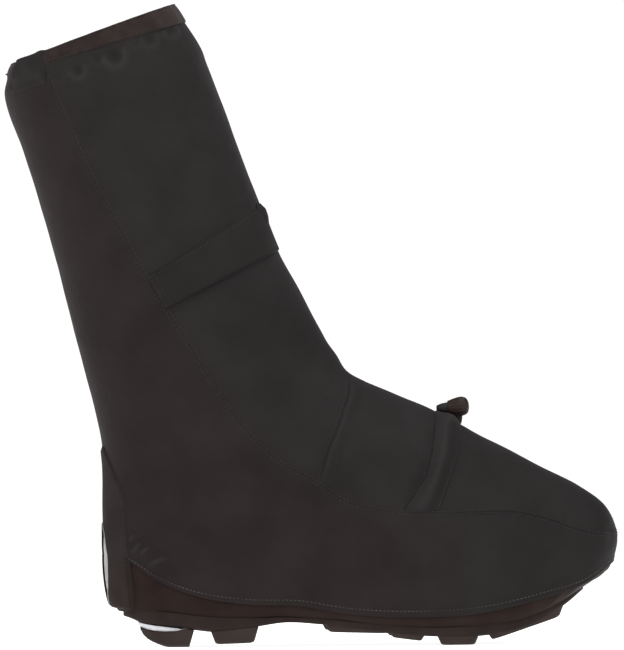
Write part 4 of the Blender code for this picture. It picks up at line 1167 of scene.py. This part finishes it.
# Collar tab: a soft patch over the binding at the back of the outer side, turned over the collar's edge
patchSpec = {
    "piece": ("collarTabCloth", "charcoalCloth", "collar_tab", "fabric"), "clothSize": (0.05, 0.03),
    "columns": (0, 1, 60), "lines": (0, 1, 60), "ends": (-2.72, -2.14),
    "lowRow": 16.9, "reach": 2.7, "turnFrom": 0.78, "lift": 0.0024,
    "over": 0.0016, "wave": 0.0005, "thick": 0.0009,
}
patchS, patchT = evenGrid(patchSpec)
patchPhi = between(patchSpec["ends"], patchS)
patchRow = np.minimum(patchSpec["lowRow"] + patchT * patchSpec["reach"], collarRow)
patchTurn = np.clip((patchT - patchSpec["turnFrom"]) / (1 - patchSpec["turnFrom"]), 0, 1) * np.pi
patchRim = smoothStep(np.minimum(np.minimum(patchS, 1 - patchS) * 1.1, 0.5 * patchT) / 0.14 + 0.02)
patchOut = (patchSpec["lift"] + lastSpec["wall"] / 2) * (0.33 + 0.67 * patchRim)
patchOut = patchOut + patchSpec["wave"] * np.sin(patchS * 9 + 3 * patchT) * np.sin(patchT * 5)
patchUp = patchSpec["over"] * np.sin(patchTurn) * (0.6 + 0.4 * patchRim)
_, patchNormal, patchUpward = frameAt(*np.broadcast_arrays(patchPhi, patchRow))
patchOuter = dressedAt(patchPhi, patchRow, patchOut * np.cos(patchTurn) - lastSpec["wall"] / 2)
patchOuter = patchOuter + patchUpward * patchUp[..., None]
patchDown = patchNormal * np.cos(patchTurn)[..., None] + patchUpward * np.sin(patchTurn)[..., None]
addOverlay(patchSpec, patchOuter, patchOuter - patchSpec["thick"] * patchDown, cloth=(patchPhi, patchT))
print("collar: binding and tab")

# Cord lock: body and plunger turned about its axis, and the cord below it
lockSpec = {
    "mouth": (0.2052, 0.1393), "tilt": math.radians(5), "sides": 64, "lines": 60,
    "ribs": 16, "ribDepth": 0.05, "ribFrom": 0.0040, "ribOver": 0.0006,
    "body": np.array((  # radius and place along the axis
        (0.0004, 0.0060), (0.0030, 0.0060), (0.0033, 0.0057), (0.0033, 0.0004), (0.0034, 0.0),
        (0.0037, 0.0), (0.0039, 0.0003), (0.0042, 0.0009), (0.0050, 0.0034), (0.0056, 0.0062),
        (0.0058, 0.0074), (0.0058, 0.0085), (0.0055, 0.0096), (0.0051, 0.0106), (0.0043, 0.0115),
        (0.0032, 0.0121), (0.0017, 0.0125), (0.0003, 0.0126),
    )),
    "plunger": np.array((
        (0.0003, -0.0068), (0.0012, -0.0067), (0.0018, -0.0064), (0.0021, -0.0058), (0.0027, -0.0038),
        (0.0030, -0.0022), (0.0029, -0.0020), (0.0029, -0.0016), (0.0031, -0.0014), (0.0031, 0.0018),
        (0.0027, 0.0023), (0.0012, 0.0025), (0.0003, 0.0025),
    )),
    "cordHalf": (0.0012, 0.0026),  # across the foot and along it
    "cordLines": 30, "cordSides": 32, "strands": 8, "plait": 0.06, "plaitTurns": 12, "cordTaper": 0.45,
    "cord": np.array((  # x, z and tilt
        (0.2112, 0.1358, -8.0), (0.2114, 0.1332, -17.0), (0.2118, 0.1303, -27.0),
    )),
}
lockX, lockZ = lockSpec["mouth"]
lockMiddle = np.array([lockX, centreLine(lockX), lockZ])


# A turned body: the profile's radius goes round the lock's axis; gripping ribs ride on the wide part
def turnedRings(profile, ribDepth):
    along = np.array([math.cos(lockSpec["tilt"]), 0.0, math.sin(lockSpec["tilt"])])
    across = np.array([0.0, 1.0, 0.0])
    up = np.cross(along, across)
    turn = np.linspace(0, 2 * np.pi, lockSpec["sides"], endpoint=False)
    way = wayAlong(profile)
    fine = np.unique(np.concatenate([way, np.linspace(0, way[-1], lockSpec["lines"])]))
    radius, place = np.interp(fine, way, profile[:, 0]), np.interp(fine, way, profile[:, 1])
    wide = smoothStep((radius - lockSpec["ribFrom"]) / lockSpec["ribOver"])[:, None]
    full = radius[:, None] * (1 - ribDepth * wide * (0.5 + 0.5 * np.cos(turn * lockSpec["ribs"])[None, :]))
    rim = across * np.cos(turn)[:, None] + up * np.sin(turn)[:, None]
    return lockMiddle + place[:, None, None] * along + full[..., None] * rim[None]


lockBody = ringBody(turnedRings(lockSpec["body"], lockSpec["ribDepth"]))
lockPlunger = ringBody(turnedRings(lockSpec["plunger"], 0.0))
addPiece("lockBodyPlastic", *lockBody, "brownPlastic", ("lock_body",), "brown_plastic")
addPiece("lockPlungerPlastic", *lockPlunger, "greyPlastic", ("lock_plunger",), "grey_plastic", "plunger")


# Braided flat cord: ellipses along its route, turned by its tilt, their rim waving like plaited strands
def cordRings():
    spots = lockSpec["cord"]
    share = np.linspace(0, 1, lockSpec["cordLines"])
    x, z, tilt = smoothTable(np.linspace(0, 1, len(spots)), spots, share).T
    turn = np.linspace(0, 2 * np.pi, lockSpec["cordSides"], endpoint=False)[None, :]
    weave = np.sin(turn * lockSpec["strands"]) * np.sin(share * lockSpec["plaitTurns"])[:, None]
    plait = (1 + lockSpec["plait"] * weave) * (1 - lockSpec["cordTaper"] * share[:, None] ** 2)
    wide = lockSpec["cordHalf"][1] * np.sin(turn) * plait
    tilt = np.radians(tilt)[:, None]
    y = centreLine(x)[:, None] + lockSpec["cordHalf"][0] * np.cos(turn) * plait
    return np.stack([x[:, None] + wide * np.cos(tilt), y, z[:, None] + wide * np.sin(tilt)], axis=-1)


addPiece("lockCordBraid", *ringBody(cordRings()), "braidedCord", ("lock_cord",), "cord")
print("cord lock: body, plunger and cord")

# Stitches: small rounded bars set along lines on the dressed surface
stitchSpec = {
    "hem": {"pitch": 0.0024, "length": 0.0017, "width": 0.00062, "height": 0.00036},
    "seam": {"pitch": 0.0027, "length": 0.0019, "width": 0.00050, "height": 0.00030},
    "fine": {"pitch": 0.0024, "length": 0.0016, "width": 0.00050, "height": 0.00030},
    "ringPlaces": (-1.0, -0.75, 0.0, 0.75, 1.0), "ringGirths": (0.25, 0.8, 1.0, 0.8, 0.25), "sides": 6,
    "hemRow": 0.16, "neckRow": 0.12, "neckLift": 0.0010,  # rows over the hem and the binding's lower edge
    "seamShifts": (-0.9, 1.0),  # millimetres to either side of the seam
    "strapRow": 0.06, "strapLift": 0.0006, "endRow": 0.03, "endLift": 0.0012, "endInsets": (0.025, 0.065),
    "panelInsets": (0.030, 0.075), "panelLift": 0.0010,
    "tunnelRuns": (  # share from back to front edge, first and last s
        (0.06, 0.25, 0.98), (0.06, -0.98, -0.25), (0.94, 0.66, 0.98), (0.94, -0.98, -0.66),
    ),
}
sideGuessPhi = np.linspace(0.04, np.pi - 0.02, 150)
sideGuessRow = np.linspace(-1.0, collarRow, 320)
sideGuess = formAt(sideGuessPhi[:, None], sideGuessRow[None, :])


# Column and row under points seen from the side: the nearest place of a coarse grid, then Newton's steps
def pinToSide(points):
    x, z = points[:, 0] * 0.001, points[:, 1] * 0.001
    awayX, awayZ = sideGuess[None, ..., 0] - x[:, None, None], sideGuess[None, ..., 2] - z[:, None, None]
    near = (awayX**2 + awayZ**2).reshape(len(points), -1).argmin(axis=1)
    phi = sideGuessPhi[near // len(sideGuessRow)]
    row = sideGuessRow[near % len(sideGuessRow)]
    nudge = 1e-4
    for _ in range(6):
        here = formAt(phi, row)
        byPhi = (formAt(phi + nudge, row) - here) / nudge
        byRow = (formAt(phi, row + nudge) - here) / nudge
        missX, missZ = x - here[:, 0], z - here[:, 2]
        area = byPhi[:, 0] * byRow[:, 2] - byPhi[:, 2] * byRow[:, 0]
        area = np.where(np.abs(area) < 1e-9, 1e-9, area)
        addPhi = np.clip((missX * byRow[:, 2] - missZ * byRow[:, 0]) / area, -0.05, 0.05)
        addRow = np.clip((missZ * byPhi[:, 0] - missX * byPhi[:, 2]) / area, -0.3, 0.3)
        phi, row = np.clip(phi + addPhi, 0.01, np.pi - 0.01), np.clip(row + addRow, -1, collarRow)
    return phi, row


# A line in the side view at a sideways distance from a given one, with even steps along it
def besideLine(line, shift, count):
    points = np.array(line, float)
    way = wayAlong(points)
    path = smoothTable(way, points, np.linspace(0, way[-1], count))
    ahead = unit(np.gradient(path, axis=0))
    return path + shift * np.stack([-ahead[:, 1], ahead[:, 0]], axis=-1)


# A table of vectors read at places along its way
def readAlong(places, way, table):
    return np.stack([np.interp(places, way, column) for column in table.T], axis=-1)


# Stitch bodies along one line: a capsule of five rings carried to each centre on its tangent, side and normal
def stitchRun(phi, row, lift, spec):
    path = dressedAt(phi, row, lift)
    _, normal, _ = frameAt(*np.broadcast_arrays(phi, row))
    way = wayAlong(path)
    centres = np.arange(spec["pitch"] / 2, way[-1], spec["pitch"])
    spot, up = readAlong(centres, way, path), unit(readAlong(centres, way, normal))
    ahead = readAlong(centres, way, np.gradient(path, way, axis=0))
    ahead = unit(ahead - up * (ahead * up).sum(-1, keepdims=True))
    side = np.cross(up, ahead)
    place, girth = np.array(stitchSpec["ringPlaces"])[:, None], np.array(stitchSpec["ringGirths"])[:, None]
    turn = np.linspace(0, 2 * np.pi, stitchSpec["sides"], endpoint=False)[None, :]
    a = (place * spec["length"] / 2 + 0 * turn).ravel()
    b = (girth * np.cos(turn) * spec["width"] / 2).ravel()
    c = (girth * np.sin(turn) * spec["height"] + (girth - 1) * spec["height"] * 0.6).ravel()
    points = spot[:, None] + a[None, :, None] * ahead[:, None] + b[None, :, None] * side[:, None]
    return points + c[None, :, None] * up[:, None]


# The same line on the outer and the inner side
def stitchPair(phi, row, lift, spec):
    return [stitchRun(sideSign * phi, row, lift, spec) for sideSign in (-1.0, 1.0)]


# All runs of one kind become one piece: the faces of one stitch repeated at each start
def addStitches(name, runs, finish):
    points = np.concatenate(runs)
    rings, sides = len(stitchSpec["ringPlaces"]), stitchSpec["sides"]
    starts = np.arange(len(points))[:, None] * rings * sides
    faces = (starts[..., None] + gridQuads(rings, sides, wrapCols=True)[None]).reshape(-1, 4).tolist()
    faces += (starts + np.arange(sides)[::-1]).tolist()
    faces += (starts + np.arange((rings - 1) * sides, rings * sides)).tolist()
    addPiece(name, points, faces, finish)
    print(name + ":", len(points), "stitches")


roundPhi = np.linspace(0, 2 * np.pi, 900)
hemRun = stitchRun(roundPhi, stitchSpec["hemRow"], 0.0, stitchSpec["hem"])
addStitches("hemStitches", [hemRun], "paleThread")

seamRuns = []
for shift in stitchSpec["seamShifts"]:
    seamPhi, seamRow = pinToSide(besideLine(clothSpec["seam"], shift, 420))
    tipPhi = seamPhi[-1] * np.linspace(1, 0, 25)[1:]  # on round the toe along the last stitch's own ring
    seamPhi, seamRow = np.append(seamPhi, tipPhi), np.append(seamRow, seamRow[-1] + 0 * tipPhi)
    seamRuns += stitchPair(seamPhi, seamRow, 0.0, stitchSpec["seam"])
addStitches("seamStitches", seamRuns, "darkThread")

fineSpec = stitchSpec["fine"]
strapWay = np.linspace(-1, 1, 400)
strapLine = strapSpec["topRow"] - stitchSpec["strapRow"] - strapDroop(strapWay)
topEnd = np.interp(strapLine[0], strapEndRow, strapEndPhi)
fineRuns = [stitchRun(strapWay * topEnd * 0.99, strapLine, stitchSpec["strapLift"], fineSpec)]
endFirst = strapSpec["lowRow"] + stitchSpec["endRow"]
endLast = strapSpec["topRow"] - stitchSpec["endRow"] - strapDroop(1.0)
endRow = np.linspace(endFirst, endLast, 60)
endPhi = np.interp(endRow, strapEndRow, strapEndPhi)
for inset in stitchSpec["endInsets"]:
    fineRuns += stitchPair(endPhi - inset, endRow, stitchSpec["endLift"], fineSpec)
panelWay = np.linspace(panelSpec["lowRow"] + 0.05, panelSpec["topRow"] - 0.3, 240)
panelSide = np.interp(panelWay, panelRow, panelEdgePhi)
for inset in stitchSpec["panelInsets"]:
    panelPhi = np.minimum(panelSide + inset, np.pi - 0.002)
    fineRuns += stitchPair(panelPhi, panelWay, stitchSpec["panelLift"], fineSpec)
for share, firstS, lastS in stitchSpec["tunnelRuns"]:
    overS = np.linspace(firstS, lastS, 200)
    fineRuns.append(stitchRun(*instepBand(tunnelSpec, overS, share), tunnelLift(overS, share), fineSpec))
addStitches("fineStitches", fineRuns, "darkThread")

neckRun = stitchRun(roundPhi, neckRow + stitchSpec["neckRow"], stitchSpec["neckLift"], fineSpec)
addStitches("bindingStitches", [neckRun], "darkThread")

# Floor: one square just under the lugs
floorSpec = {"half": 6.0, "z": -0.0001}
floorCorners = [(-1, -1), (1, -1), (1, 1), (-1, 1)]
floorPoints = [(floorSpec["half"] * x, floorSpec["half"] * y, floorSpec["z"]) for x, y in floorCorners]
floorMesh = bpy.data.meshes.new("floor")
floorMesh.from_pydata(floorPoints, [], [(0, 1, 2, 3)])
floorMesh.materials.append(finishes["paleFloor"])
floor = bpy.data.objects.new("floor", floorMesh)
bpy.context.scene.collection.objects.link(floor)
